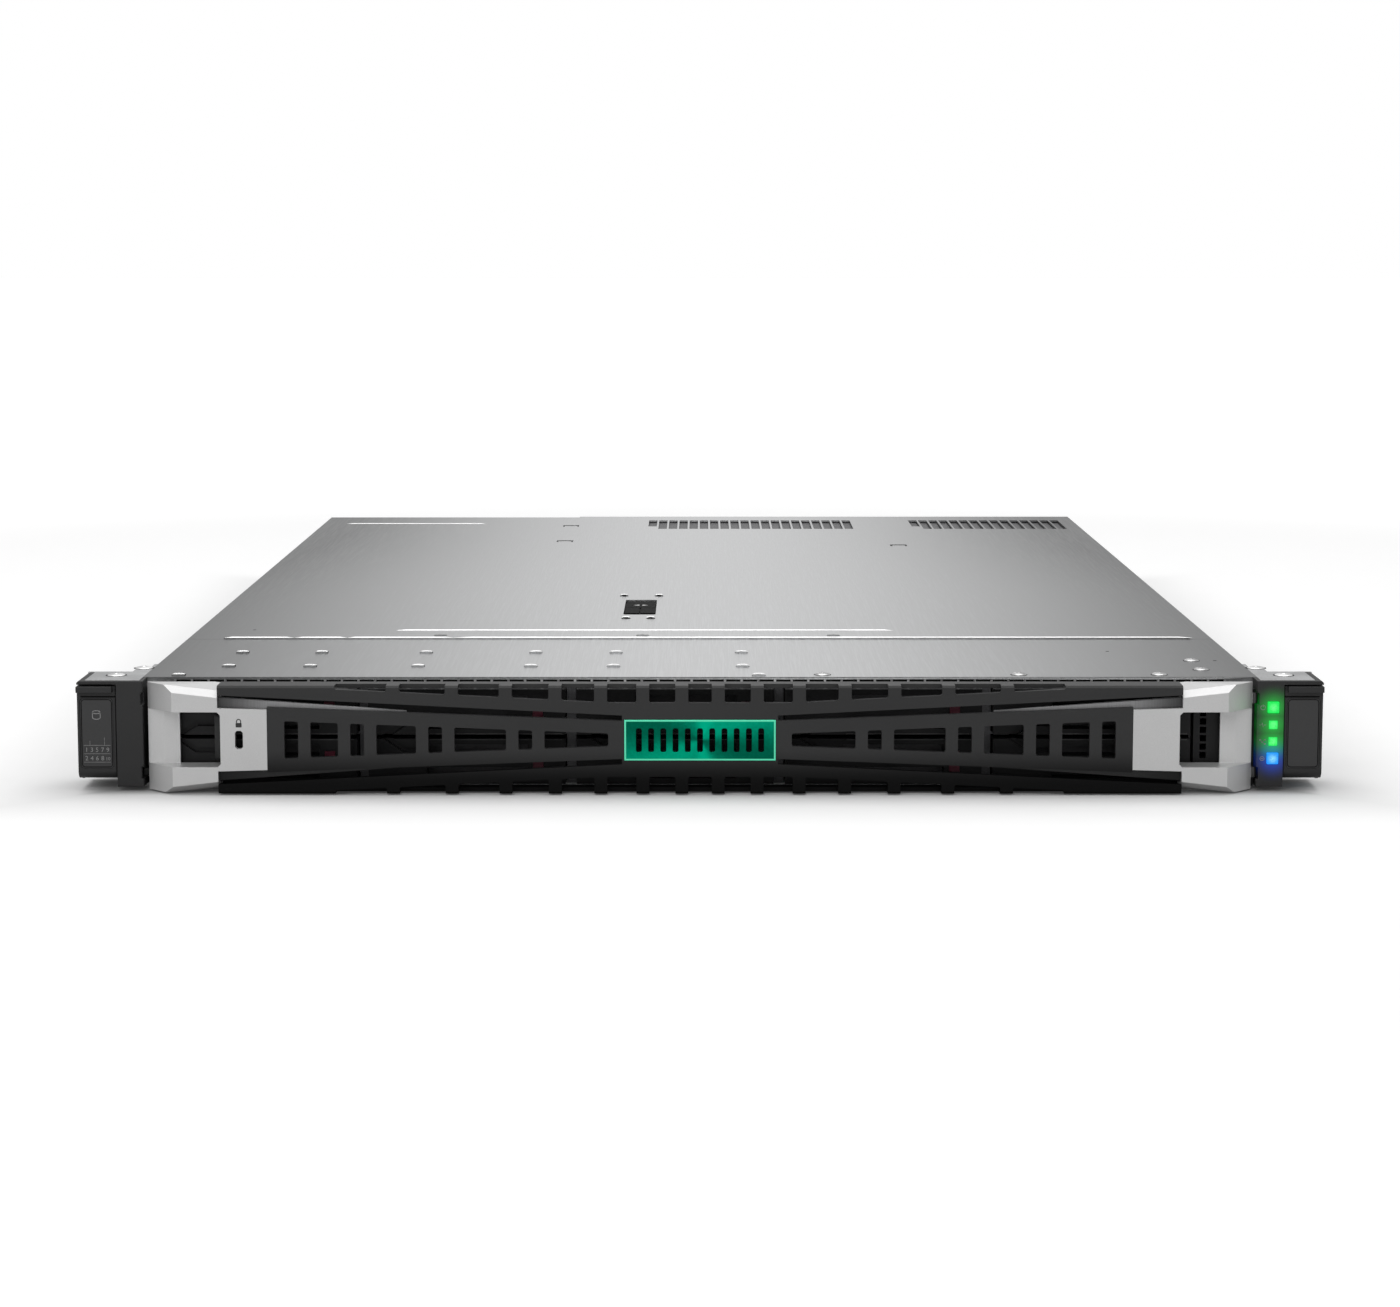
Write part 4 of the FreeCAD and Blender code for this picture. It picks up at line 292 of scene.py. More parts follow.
def spun_green(name, color, box):
    """Anodised green metal: light and dark rays turn about the middle as a painted reflection, with a paler line
    round the rim as a painted highlight.
    """
    rim_width = 0.0007
    finish = Finish(name, color, 0.3, 1.0)
    (left, _, low), (right, _, high) = box
    x, _, z = finish.axes()
    middle_x, middle_z = 0.5 * (left + right), 0.5 * (low + high)
    turn = finish.add("ShaderNodeMath", {"operation": "ARCTAN2"}, {0: (z - middle_z) * 2.2, 1: x - middle_x})
    # Painted reflection: rays about the middle, and a bright band above and below it
    rays = (turn * 2.0 - 0.5).sine()
    painted_gleam = (turn.absolute() - 1.45).absolute().step(0.02, 0.3)
    scratch = finish.noise((900.0, 900.0, 900.0), 2.0)
    level = (0.42 + rays * 0.3 + (1.0 - painted_gleam) * 0.4 + (scratch - 0.5) * 0.3).step(0.0, 1.1)
    # Painted highlight: a paler line round the rim
    rim_x = (x - middle_x).absolute() - (0.5 * (right - left) - rim_width)
    rim_z = (z - middle_z).absolute() - (0.5 * (high - low) - rim_width)
    rim = rim_x.maximum(rim_z).step(-0.0001, 0.0002)
    tint = finish.blend(shade(color, 0.35), shade(color, 1.5), level)
    finish.feed("Base Color", finish.blend(tint, (0.12, 0.72, 0.45), rim))
    finish.feed("Roughness", 0.3 + scratch * 0.12)
    finish.bump(scratch, 0.00002, 0.4)
    return finish.material


def nearness(finish, places, reach):
    """1 at the nearest of the (x, z) places, falling to 0 at the reach from it."""
    x, _, z = finish.axes()
    nearest = None
    for across, up in places:
        apart = ((x - across) * (x - across) + (z - up) * (z - up)).power(0.5)
        nearest = nearest.minimum(apart) if nearest else apart
    return 1.0 - nearest.step(0.0, reach)


def lit_lens(name, color, glow, core, places):
    """Frosted light pipe with a lamp behind it: palest in its middle, faint grain in the lens."""
    finish = Finish(name, color, 0.35, Emission_Strength=1.0)
    frost = finish.noise(2200.0, 2.0)
    shine = finish.blend(glow, core, nearness(finish, places, 0.0024) * 0.9)
    finish.feed("Emission Color", finish.blend(shade(glow, 0.8), shine, frost.step(0.2, 0.55)))
    finish.feed("Roughness", 0.3 + frost * 0.15)
    finish.bump(frost, 0.00002, 0.4)
    return finish.material


def lamp_side(name, color, rough, glows, share):
    """Moulded ear beside the lamps: the plastic's own grain, and a painted glow of each lamp's light fading round
    it.
    """
    finish = Finish(name, color, rough, Specular_IOR_Level=0.35, Emission_Strength=share)
    texture = finish.noise(2600.0, 2.0, 0.6)
    finish.feed("Base Color", finish.blend(shade(color, 0.88), shade(color, 1.12), texture.step(0.3, 0.7)))
    # Painted light: the ear plastic glows round each lamp
    light = None
    for glow, places in glows:
        level = nearness(finish, places, 0.011)
        patch = finish.blend((0.0, 0.0, 0.0), glow, level * level)
        settings = {"data_type": "RGBA", "blend_type": "ADD"}
        light = finish.add("ShaderNodeMix", settings, {0: 1.0, 6: light, 7: patch}, 2) if light else patch
    finish.feed("Emission Color", light)
    finish.feed("Roughness", rough - 0.04 + texture * 0.1)
    finish.bump(texture, 0.00004, 0.5)
    return finish.material


def solder_mask(name, color):
    """Circuit board: lacquer over copper tracks, with small round pads."""
    finish = Finish(name, color, 0.32, Coat_Weight=0.4, Coat_Roughness=0.25)
    x, _, _ = finish.axes()
    bend = finish.noise((40.0, 40.0, 40.0), 1.0) * 0.02
    tracks = ((x + bend) * 420.0).fraction()
    line = (tracks > 0.62) * (finish.noise(28.0, 0.0) > 0.5)
    spots = {"Vector": finish.stretched((260.0, 260.0, 260.0)), "Scale": 1.0}
    pads = finish.add("ShaderNodeTexVoronoi", {}, spots)
    pad = pads < 0.16
    base = finish.blend(color, shade(color, 1.7), line)
    finish.feed("Base Color", finish.blend(base, (0.55, 0.5, 0.36), pad))
    finish.feed("Roughness", 0.3 + line * 0.08)
    finish.bump(line.maximum(pad), 0.00004, 0.5)
    return finish.material


def cast_metal(name, color, rough=0.4, grain=700.0):
    """Cast or milled aluminium: fine pitting and faint clouding."""
    finish = Finish(name, color, rough, 1.0)
    pit = finish.noise(grain, 3.0, 0.6)
    cloud = finish.noise(40.0, 2.0)
    level = (pit * 0.4 + cloud * 0.6).step(0.3, 0.7)
    finish.feed("Base Color", finish.blend(shade(color, 0.85), shade(color, 1.08), level))
    finish.feed("Roughness", rough - 0.05 + pit * 0.14)
    finish.bump(pit, 0.00003, 0.5)
    return finish.material


def finned(name, color):
    """Stacked aluminium fins: fine bright edges across the width, with painted shade in the gaps between them."""
    finish = Finish(name, color, 0.33, 1.0)
    x, _, _ = finish.axes()
    edge = ((x * 900.0).fraction() - 0.5).absolute() * 2.0
    grime = finish.noise(120.0, 2.0)
    level = edge.step(0.2, 0.9) * (0.7 + grime * 0.5)
    # Painted shade between the fin edges
    finish.feed("Base Color", finish.blend(shade(color, 0.5), shade(color, 1.1), level))
    finish.bump(edge, 0.00006, 0.5)
    return finish.material


def printed(name, color):
    """Printed ink: slightly uneven cover over the surface below."""
    finish = Finish(name, color, 0.5)
    ink = finish.noise(1800.0, 2.0)
    finish.feed("Base Color", finish.blend(shade(color, 0.86), shade(color, 1.04), ink.step(0.3, 0.6)))
    finish.feed("Roughness", 0.46 + ink * 0.08)
    finish.bump(ink, 0.00001, 0.3)
    return finish.material


# The cover steel's top darkens toward its side edges as a painted reflection falloff
STEEL = brushed_sheet("cover_steel", (0.46, 0.465, 0.47), 1, 0.36, painted_dim=0.25)
TRIM = trim_strip("brushed_trim", (0.34, 0.34, 0.345))
ZINC = zinc_sheet("zinc_sheet", (0.5, 0.505, 0.51))
# Zinc sheet darkened as painted shade, for the cages inside the case
DARK_ZINC = zinc_sheet("zinc_in_painted_shade", (0.12, 0.12, 0.125), 0.5)
# Bezel black plastic, with painted shade toward the bottom
BLACK = moulded("black_plastic", (0.026, 0.026, 0.0265), 0.5, fade=(0.004, 0.019, 0.16),
                Specular_IOR_Level=0.35)
CUP_BLACK = moulded("cup_plastic", (0.006, 0.006, 0.006), 0.75, Specular_IOR_Level=0.12)
# Black plastic, darkened further as painted shade behind the bezel
CARRIER = moulded("carrier_plastic", (0.0065, 0.0065, 0.007), 0.5, Specular_IOR_Level=0.25)
EAR_BLACK = moulded("ear_plastic", (0.02, 0.02, 0.0205), 0.5, Specular_IOR_Level=0.35)
FAN_BLACK = moulded("fan_plastic", (0.03, 0.03, 0.03), 0.38, 1800.0)
BAFFLE = moulded("baffle_plastic", (0.02, 0.02, 0.022), 0.3, 900.0)
SILVER = silver_paint("silver_paint", (0.66, 0.66, 0.66))
GREEN = spun_green("green_metal", (0.0, 0.26, 0.15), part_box("bezel_center_insert"))


def middle(name):
    """Middle of a node, seen from the front."""
    low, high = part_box(name)
    return 0.5 * (low[0] + high[0]), 0.5 * (low[2] + high[2])


LAMP_X = middle("power_button")[0]
HALF_LAMP = 1.7 * MM
lamp_low, lamp_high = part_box("status_lamps")[0][2] + HALF_LAMP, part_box("status_lamps")[1][2] - HALF_LAMP
green_places = [middle("power_button"), (LAMP_X, lamp_high), (LAMP_X, lamp_low)]
blue_places = [middle("id_button")]
LAMP_GREEN = lit_lens("green_lamp", (0.0, 0.25, 0.05), (0.0, 0.75, 0.07), (0.16, 1.0, 0.25), green_places)
LAMP_BLUE = lit_lens("blue_lamp", (0.01, 0.1, 0.4), (0.01, 0.3, 1.0), (0.3, 0.75, 1.0), blue_places)
# Ear plastic round the lamps, with a painted glow
LAMP_EAR = lamp_side("lamp_ear_plastic", (0.02, 0.02, 0.0205), 0.5,
                     [((0.0, 0.9, 0.07), green_places), ((0.0, 0.1, 1.0), blue_places)], 0.4)
MAROON = moulded("release_plastic", (0.08, 0.003, 0.016), 0.36)
ORANGE = moulded("tab_plastic", (0.45, 0.07, 0.02), 0.36)
BOARD = solder_mask("solder_mask", (0.006, 0.05, 0.025))
FINS = finned("fin_stack", (0.62, 0.62, 0.63))
DISK = cast_metal("disk_case", (0.07, 0.07, 0.072), 0.5)
CASE = brushed_sheet("supply_case", (0.56, 0.56, 0.57), 1, 0.4, 0.6)
PORT = cast_metal("port_shell", (0.55, 0.55, 0.55), 0.3, 1200.0)
SCREW = cast_metal("screw_metal", (0.58, 0.58, 0.58), 0.28, 1500.0)
WHITE_INK = printed("white_ink", (0.62, 0.62, 0.62))
GREY_INK = printed("grey_ink", (0.34, 0.34, 0.34))
BLACK_INK = printed("black_ink", (0.015, 0.015, 0.015))
LABEL = moulded("label_film", (0.02, 0.02, 0.021), 0.3, 1200.0, 0.00001)
# Near black for painted shade: in openings, slots, holes and ports, and as painted shadows
SHADOW = moulded("painted_shade_black", (0.004, 0.004, 0.004), 0.7, Specular_IOR_Level=0.08)
# Grey strips as painted highlights on the carriers' edges
EDGE_HIGHLIGHT = moulded("painted_edge_highlight", (0.06, 0.06, 0.06), 0.35)
# Bright steel: the shine of sheared edges and heads, and partly a painted highlight on raised edges and ridges
BRIGHT = cast_metal("sheared_edge_and_painted_highlight", (0.85, 0.85, 0.85), 0.35, 900.0)
GOLD = cast_metal("contact_gold", (0.75, 0.5, 0.18), 0.25, 1400.0)

node_finish = {}
for finish, names in (
        (STEEL, ["front_cover", "access_panel", "chassis_tray"]),
        (ZINC, ["left_ear_bracket", "right_ear_bracket", "rivets", "rail_studs", "slot_blanks",
                "psu_cage"]),
        (DARK_ZINC, ["drive_cage", "riser_cages"]),
        (BLACK, ["bezel_grille", "bezel_release", "psu_1_face", "psu_2_face"]),
        (CUP_BLACK, ["latch_cup", "panel_latch"]),
        (EAR_BLACK, ["left_ear_housing", "left_ear_latch", "right_ear_latch"]),
        (LAMP_EAR, ["right_ear_housing"]),
        (CARRIER, ["front_port_panel"] + ["drive_carrier_%d" % bay for bay in BAYS]),
        (FAN_BLACK, ["fan_frames"] + ["fan_rotor_%d" % fan for fan in FANS]),
        (BAFFLE, ["air_baffle"]), (SILVER, ["bezel_left_handle", "bezel_right_handle"]),
        (TRIM, ["bezel_trim_bars"]), (GREEN, ["bezel_center_insert"]),
        (LAMP_GREEN, ["power_button", "status_lamps"]), (LAMP_BLUE, ["id_button"]),
        (MAROON, ["drive_releases"]), (ORANGE, ["psu_1_tab", "psu_2_tab"]),
        (BOARD, ["drive_backplane", "system_board", "memory_modules"]), (FINS, ["cpu_heatsink"]),
        (DISK, ["disk_drives"]), (CASE, ["psu_1_case", "psu_2_case"]), (PORT, ["rear_ports"]),
        (SCREW, ["rack_screws"])):
    for name in names:
        node_finish[name] = finish

# Rounded edges on the solids that show: flat faces are joined first, so that only real edges are rounded
SOFT_EDGES = {
    "bezel_grille": 0.35, "bezel_left_handle": 0.6, "bezel_right_handle": 0.6, "bezel_center_insert": 0.25,
    "bezel_trim_bars": 0.2, "bezel_release": 0.4, "left_ear_housing": 0.4, "right_ear_housing": 0.4,
    "left_ear_latch": 0.45, "right_ear_latch": 0.45, "latch_cup": 0.3, "panel_latch": 0.3,
    "power_button": 0.35, "id_button": 0.35, "status_lamps": 0.3, "psu_1_face": 0.4, "psu_2_face": 0.4,
    "front_cover": 0.12, "access_panel": 0.12, "left_ear_bracket": 0.2, "right_ear_bracket": 0.2,
    "rear_ports": 0.15, "psu_1_tab": 0.4, "psu_2_tab": 0.4, "slot_blanks": 0.15}

for name, finish in node_finish.items():
    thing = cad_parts[name]
    if thing.material_slots:
        for material_slot in thing.material_slots:
            material_slot.material = finish
    else:
        thing.data.materials.append(finish)
    if name in SOFT_EDGES:
        weld = thing.modifiers.new("weld", "WELD")
        weld.merge_threshold = 0.000002
        flat = thing.modifiers.new("flat", "DECIMATE")
        flat.decimate_type = "DISSOLVE"
        flat.angle_limit = math.radians(1.0)
        round_edge = thing.modifiers.new("round_edge", "BEVEL")
        round_edge.width = SOFT_EDGES[name] * MM
        round_edge.segments = 2
        round_edge.limit_method = "ANGLE"
        round_edge.angle_limit = math.radians(28.0)
        round_edge.harden_normals = False


# Shapes

def skin(name, points, faces, finish, body, smooth=True):
    """Makes one piece from an array of points and a list of faces."""
    mesh = bpy.data.meshes.new(name)
    mesh.from_pydata(np.asarray(points, dtype=float).tolist(), [], [list(map(int, face)) for face in faces])
    mesh.validate()
    mesh.update()
    if smooth:
        mesh.polygons.foreach_set("use_smooth", np.ones(len(mesh.polygons), dtype=bool))
    piece = bpy.data.objects.new(name, mesh)
    scene.collection.objects.link(piece)
    mesh.materials.append(finish)
    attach(piece, body)
    return piece


def gather(parts):
    """Joins several (points, faces) pairs into one, with the faces' numbers moved on."""
    points, faces, start = [], [], 0
    for part_points, part_faces in parts:
        points.append(part_points)
        faces.extend([[corner + start for corner in face] for face in part_faces])
        start += len(part_points)
    return np.concatenate(points), faces


def grid_faces(rows, columns, closed=False):
    """Four-sided faces between neighbouring rows and columns; closed joins the last column to the first."""
    faces = []
    for row in range(rows - 1):
        for column in range(columns if closed else columns - 1):
            right = (column + 1) % columns
            faces.append([row * columns + column, row * columns + right,
                          (row + 1) * columns + right, (row + 1) * columns + column])
    return faces


def turned(profile, sides, centre, axis="z"):
    """Profile of (radius, height) carried round a circle about the axis, closed at both ends.

    Point = centre + (radius cos t, radius sin t, height), with t going once round.
    """
    profile = np.asarray(profile, dtype=float)
    turn = np.linspace(0.0, 2.0 * math.pi, sides, endpoint=False)
    radius, height = profile[:, 0][:, None], profile[:, 1][:, None]
    across, along = radius * np.cos(turn), radius * np.sin(turn)
    rise = height + 0.0 * across
    order = {"z": (across, along, rise), "y": (across, -rise, along)}[axis]
    points = np.stack([part.ravel() for part in order], axis=1) + np.asarray(centre)
    faces = grid_faces(len(profile), sides, True)
    faces.append(list(range(sides))[::-1])
    faces.append([(len(profile) - 1) * sides + side for side in range(sides)])
    return points, faces


def at(x, y, z):
    """A place given in millimetres, with y counted from the drive fronts."""
    return np.array([x * MM, DRIVE_PLANE + y * MM, z * MM])


def head(x, y, radius, height, base):
    """Domed fastener head: its radius shrinks with height as a quarter ellipse, round a small dip on top."""
    turn = np.linspace(0.0, math.pi / 2, 7)
    rim = [(radius, -0.0002)]
    rim += [(radius * math.cos(angle) * 0.999 + 1e-5, height * math.sin(angle)) for angle in turn[:-1]]
    rim.append((radius * 0.28, height))
    rim.append((radius * 0.2, height * 0.7))
    return turned(rim, 28, at(x, y, 0.0) + np.array([0.0, 0.0, base]))


def disc(x, y, radius, level):
    """Flat round plate lying on a level face, at a place counted from the drive fronts."""
    thickness = 0.00006
    profile = [(0.0001, 0.0), (radius, 0.0), (radius, thickness), (0.0001, thickness)]
    return turned(profile, 24, at(x, y, 0) + [0, 0, level])


# Domed heads on the cover and on the ears, each in a ring of painted shadow
COVER_HEADS = ((48, 13.5), (125, 13.5), (180, 13.5), (198.5, 55), (198.5, 28))
EAR_HEADS = tuple((side * x, y) for side in (-1, 1) for x, y in ((221, 33), (228.5, 12)))
cover_heads = gather([head(x, y, 3.0 * MM, 0.95 * MM, TOP) for x, y in COVER_HEADS])
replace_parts(skin("cover_heads", *cover_heads, SCREW, "chassis"), "rivets")
# Ear heads in bright steel, partly a painted highlight
ear_heads = gather([head(x, y, 3.6 * MM, 0.75 * MM, TOP) for x, y in EAR_HEADS])
skin("ear_heads", *ear_heads, BRIGHT, "chassis")
rings = [disc(x, y, 3.35 * MM, TOP) for x, y in COVER_HEADS]
rings += [disc(x, y, 4.15 * MM, TOP) for x, y in EAR_HEADS]
skin("head_painted_shadows", *gather(rings), SHADOW, "chassis", False)


def ribbon(path, width, front, thickness=0.00008, closed=False):
    """Flat strip along a path of (x, z) places on an upright face that looks to -Y.

    Each path point gives four corners: path plus and minus half the width along the path's normal, on the
    face and at front minus thickness.
    """
    path = np.asarray(path, dtype=float)
    if closed:
        ahead = np.roll(path, -1, axis=0) - np.roll(path, 1, axis=0)
    else:
        ahead = np.gradient(path, axis=0)
    ahead /= np.linalg.norm(ahead, axis=1)[:, None]
    normal = np.stack([-ahead[:, 1], ahead[:, 0]], axis=1) * width / 2
    left, right = path + normal, path - normal
    low, high = front + 0.0001, front - thickness
    rings = [np.stack([side[:, 0], np.full(len(path), depth), side[:, 1]], axis=1)
             for side, depth in ((left, low), (left, high), (right, high), (right, low))]
    points = np.stack(rings, axis=1).reshape(-1, 3)
    rows = len(path)
    faces = [face[::-1] for face in grid_faces(rows, 4, True)]
    if closed:
        last = (rows - 1) * 4
        faces += [[last + corner, corner, (corner + 1) % 4, last + (corner + 1) % 4] for corner in range(4)]
    else:
        faces += [[0, 1, 2, 3], [(rows - 1) * 4 + corner for corner in (3, 2, 1, 0)]]
    return points, faces


def arc(x, z, radius, start, stop, count=14):
    """Places on a circle about (x, z), from start to stop in degrees."""
    turn = np.radians(np.linspace(start, stop, count))
    return np.stack([x + radius * np.cos(turn), z + radius * np.sin(turn)], axis=1)


def round_frame(x0, x1, z0, z1, radius):
    """Closed rounded rectangle of (x, z) places."""
    left, right, low, high = x0 + radius, x1 - radius, z0 + radius, z1 - radius
    corners = ((right, high, 0), (left, high, 90), (left, low, 180), (right, low, 270))
    return np.concatenate([arc(x, z, radius, start, start + 90, 5) for x, z, start in corners])


def plate(x, z, width, height, radius):
    """Closed rounded rectangle about its middle."""
    return round_frame(x - width / 2, x + width / 2, z - height / 2, z + height / 2, radius)


def tile(outline, front, thickness=0.00008):
    """Flat plate with an outline of (x, z) places on an upright face that looks to -Y."""
    outline = np.asarray(outline, dtype=float)
    count = len(outline)
    rings = [np.stack([outline[:, 0], np.full(count, depth), outline[:, 1]], axis=1)
             for depth in (front + 0.0001, front - thickness)]
    points = np.concatenate(rings)
    faces = grid_faces(2, count, True)
    faces += [list(range(count))[::-1], [count + corner for corner in range(count)]]
    return points, faces


def numbers(rows, front):
    """Plain figures set upright on a face that looks to -Y: each row is (text, x, z, height)."""
    parts = []
    for text, x, z, height in rows:
        curve = bpy.data.curves.new("figures", "FONT")
        curve.body = text
        curve.size = height
        curve.extrude = 0.00006
        curve.align_x = "CENTER"
        curve.resolution_u = 2
        thing = bpy.data.objects.new("figures", curve)
        scene.collection.objects.link(thing)
        bpy.context.view_layer.update()
        mesh = bpy.data.meshes.new_from_object(thing.evaluated_get(bpy.context.evaluated_depsgraph_get()))
        flat = np.zeros(len(mesh.vertices) * 3)
        mesh.vertices.foreach_get("co", flat)
        flat = flat.reshape(-1, 3)
        points = np.stack([x + flat[:, 0], front - flat[:, 2], z + flat[:, 1]], axis=1)
        parts.append((points, [list(face.vertices) for face in mesh.polygons]))
        bpy.data.objects.remove(thing)
        bpy.data.curves.remove(curve)
        bpy.data.meshes.remove(mesh)
    return gather(parts)


# Marks on the front: a padlock above the lock slot
HANDLE_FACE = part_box("bezel_left_handle")[0][1]
MIDDLE = 0.5 * (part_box("bezel_grille")[0][2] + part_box("bezel_grille")[1][2])
lock_x, lock_z = -177.3 * MM, MIDDLE + 4.9 * MM
shackle = np.concatenate([[(lock_x + 0.8 * MM, lock_z + 1.5 * MM)],
                          arc(lock_x, lock_z + 2.3 * MM, 0.8 * MM, 0, 180, 10),
                          [(lock_x - 0.8 * MM, lock_z + 1.5 * MM)]])
lock_body = round_frame(lock_x - 1.15 * MM, lock_x + 1.15 * MM, lock_z, lock_z + 1.7 * MM, 0.3 * MM)
lock_parts = [tile(lock_body, HANDLE_FACE), ribbon(shackle, 0.38 * MM, HANDLE_FACE)]
skin("lock_mark", *gather(lock_parts), BLACK_INK, "bezel", False)

# Label, its rim and the line under the finger bar, on each ear door: the rim is painted shade at the label's edge,
# the line a painted shadow under the bar
DOOR_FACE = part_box("left_ear_latch")[0][1] + 2.6 * MM
PRINT_FACE, MARK_FACE = DOOR_FACE + 0.26 * MM, DOOR_FACE + 0.28 * MM
LABEL_LOW, LABEL_HIGH = 8.5 * MM, 36.1 * MM
LABEL_INNER, LABEL_OUTER = 227.4 * MM, 240.3 * MM
BAR_OVERHANG = 4.0 * MM
for side, body in ((-1, "left_ear_latch"), (1, "right_ear_latch")):
    near, far = sorted((side * LABEL_INNER, side * LABEL_OUTER))
    film, rim = [round_frame(near + inset, far - inset, LABEL_LOW + inset, LABEL_HIGH - inset, radius)
                 for inset, radius in ((0.25 * MM, 1.3 * MM), (0.6 * MM, 1.2 * MM))]
    skin(body + "_label", *tile(film, DOOR_FACE + 0.4 * MM, 0.12 * MM), LABEL, body, False)
    bar_left = near - BAR_OVERHANG if side > 0 else near + 0.4 * MM
    bar_right = far - 0.4 * MM if side > 0 else far + BAR_OVERHANG
    under_bar = tile(round_frame(bar_left, bar_right, 36.4 * MM, 37.0 * MM, 0.2 * MM), DOOR_FACE)
    lines = gather([ribbon(rim, 0.3 * MM, PRINT_FACE, closed=True), under_bar])
    skin(body + "_lines", *lines, SHADOW, body, False)

# Drive symbol: an ellipse above a cup that ends in half an ellipse
x, z = -233.9 * MM, 29.6 * MM
turn = np.linspace(0, 2 * math.pi, 20, endpoint=False)
lid = np.stack([x + 1.5 * MM * np.cos(turn), z + 1.0 * MM + 0.6 * MM * np.sin(turn)], axis=1)
turn = np.linspace(0, math.pi, 9)
bowl = np.stack([x - 1.5 * MM * np.cos(turn), z - 1.1 * MM - 0.7 * MM * np.sin(turn)], axis=1)
cup = np.concatenate([[(x - 1.5 * MM, z + 1.0 * MM)], [(x - 1.5 * MM, z - 0.9 * MM)], bowl,
                      [(x + 1.5 * MM, z + 1.0 * MM)]])
disk_parts = [ribbon(lid, 0.32 * MM, MARK_FACE, closed=True), ribbon(cup, 0.32 * MM, MARK_FACE)]

# Grid of the bays' numbers: odd above, even below
GRID_LEFT, GRID_RIGHT = -239.0 * MM, -228.7 * MM
for level in (17.6, 14.3, 11.0):
    disk_parts.append(ribbon([(GRID_LEFT, level * MM), (GRID_RIGHT, level * MM)], 0.14 * MM, MARK_FACE))
for across, top in ((-236.6, 19.4), (-231.0, 20.6)):
    disk_parts.append(ribbon([(across * MM, 17.6 * MM), (across * MM, top * MM)], 0.12 * MM, MARK_FACE))
column = (GRID_RIGHT - GRID_LEFT) / 5
figures = []
for first, level in ((1, 15.0 * MM), (2, 11.7 * MM)):
    for index in range(5):
        number = first + 2 * index
        height = 2.5 * MM if number < 10 else 1.9 * MM
        figures.append((str(number), GRID_LEFT + (index + 0.5) * column, level, height))
disk_parts.append(numbers(figures, PRINT_FACE))
skin("bay_marks", *gather(disk_parts), GREY_INK, "left_ear_latch", False)

# Marks beside the lamps: power, health, network and locate
EAR_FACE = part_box("right_ear_housing")[0][1]
mark_x = 217.9 * MM
power, health, network, locate = 32.6 * MM, 25.8 * MM, 19.3 * MM, 12.6 * MM
marks = [ribbon(arc(mark_x, power, 0.9 * MM, 120, 420, 16), 0.22 * MM, EAR_FACE),
         ribbon([(mark_x, power + 0.1 * MM), (mark_x, power + 1.15 * MM)], 0.22 * MM, EAR_FACE)]
beat = [(-1.3, 0), (-0.6, 0), (-0.25, 0.9), (0.2, -0.9), (0.55, 0), (1.3, 0)]
marks.append(ribbon([(mark_x + x * MM, health + z * MM) for x, z in beat], 0.2 * MM, EAR_FACE))
for x, z in ((-0.9, 0.6), (0.0, -0.2), (0.9, 0.6), (0.9, -0.9)):
    marks.append(tile(plate(mark_x + x * MM, network + z * MM, 0.6 * MM, 0.6 * MM, 0.08 * MM), EAR_FACE))
link = [(mark_x + x * MM, network + z * MM) for x, z in ((-0.9, 0.6), (0.0, -0.2), (0.9, 0.6))]
marks.append(ribbon(link, 0.14 * MM, EAR_FACE))
marks.append(ribbon(arc(mark_x, locate, 0.8 * MM, 0, 360, 18)[:-1], 0.2 * MM, EAR_FACE, closed=True))
marks.append(tile(arc(mark_x, locate, 0.3 * MM, 0, 330, 12), EAR_FACE))
skin("lamp_marks", *gather(marks), GREY_INK, "chassis", False)


# Marks on the covers

def lance_cap(x, y, width, height):
    """Raised edge of a sheared mark: its height falls as the square root of a cosine toward both ends."""
    along = np.linspace(-1.0, 1.0, 13)
    foot, lowest = 0.35 * MM, 0.6 * MM
    rise = lowest + (height - lowest) * np.cos(along * math.pi / 2) ** 0.5
    rows = []
    for depth, lift in ((-0.5, 0.0), (-0.5, 1.0), (0.3, 1.04), (2.5, 0.6), (2.9, 0.0)):
        base = foot if depth < 0 else 0.0
        rows.append(np.stack([x * MM + along * width / 2, np.full(13, y + depth * MM),
                              TOP + base + (rise - base) * lift], axis=1))
    return np.concatenate(rows), [face[::-1] for face in grid_faces(5, 13)]


def lance_mouth(x, y, width, height):
    """Painted shade in the opening under the raised edge: flat below, bowed above as the square root of a cosine.
    """
    along = np.linspace(-1.0, 1.0, 13)
    rise = height * np.cos(along * math.pi / 2) ** 0.5 + 0.02 * MM
    low = np.stack([x * MM + along * width / 2, np.full(13, y), np.full(13, TOP + 0.015 * MM)], axis=1)
    high = low + np.stack([0 * along, 0 * along, rise], axis=1)
    return np.concatenate([low, high]), grid_faces(2, 13)


def lances(name, places, body, capped, width=5.7):
    """Sheared marks at (x, y) places, y counted from the drive fronts."""
    fronts = [(x, DRIVE_PLANE + (y - 1.2) * MM) for x, y in places]
    mouths = [lance_mouth(x, y - 0.55 * MM, width * MM, 0.62 * MM) for x, y in fronts]
    skin(name + "_mouths", *gather(mouths), SHADOW, body)
    if capped:
        # Raised edges in bright steel, partly a painted highlight
        caps = [lance_cap(x, y, width * 0.86 * MM, 0.95 * MM) for x, y in fronts]
        skin(name + "_edges", *gather(caps), BRIGHT, body)


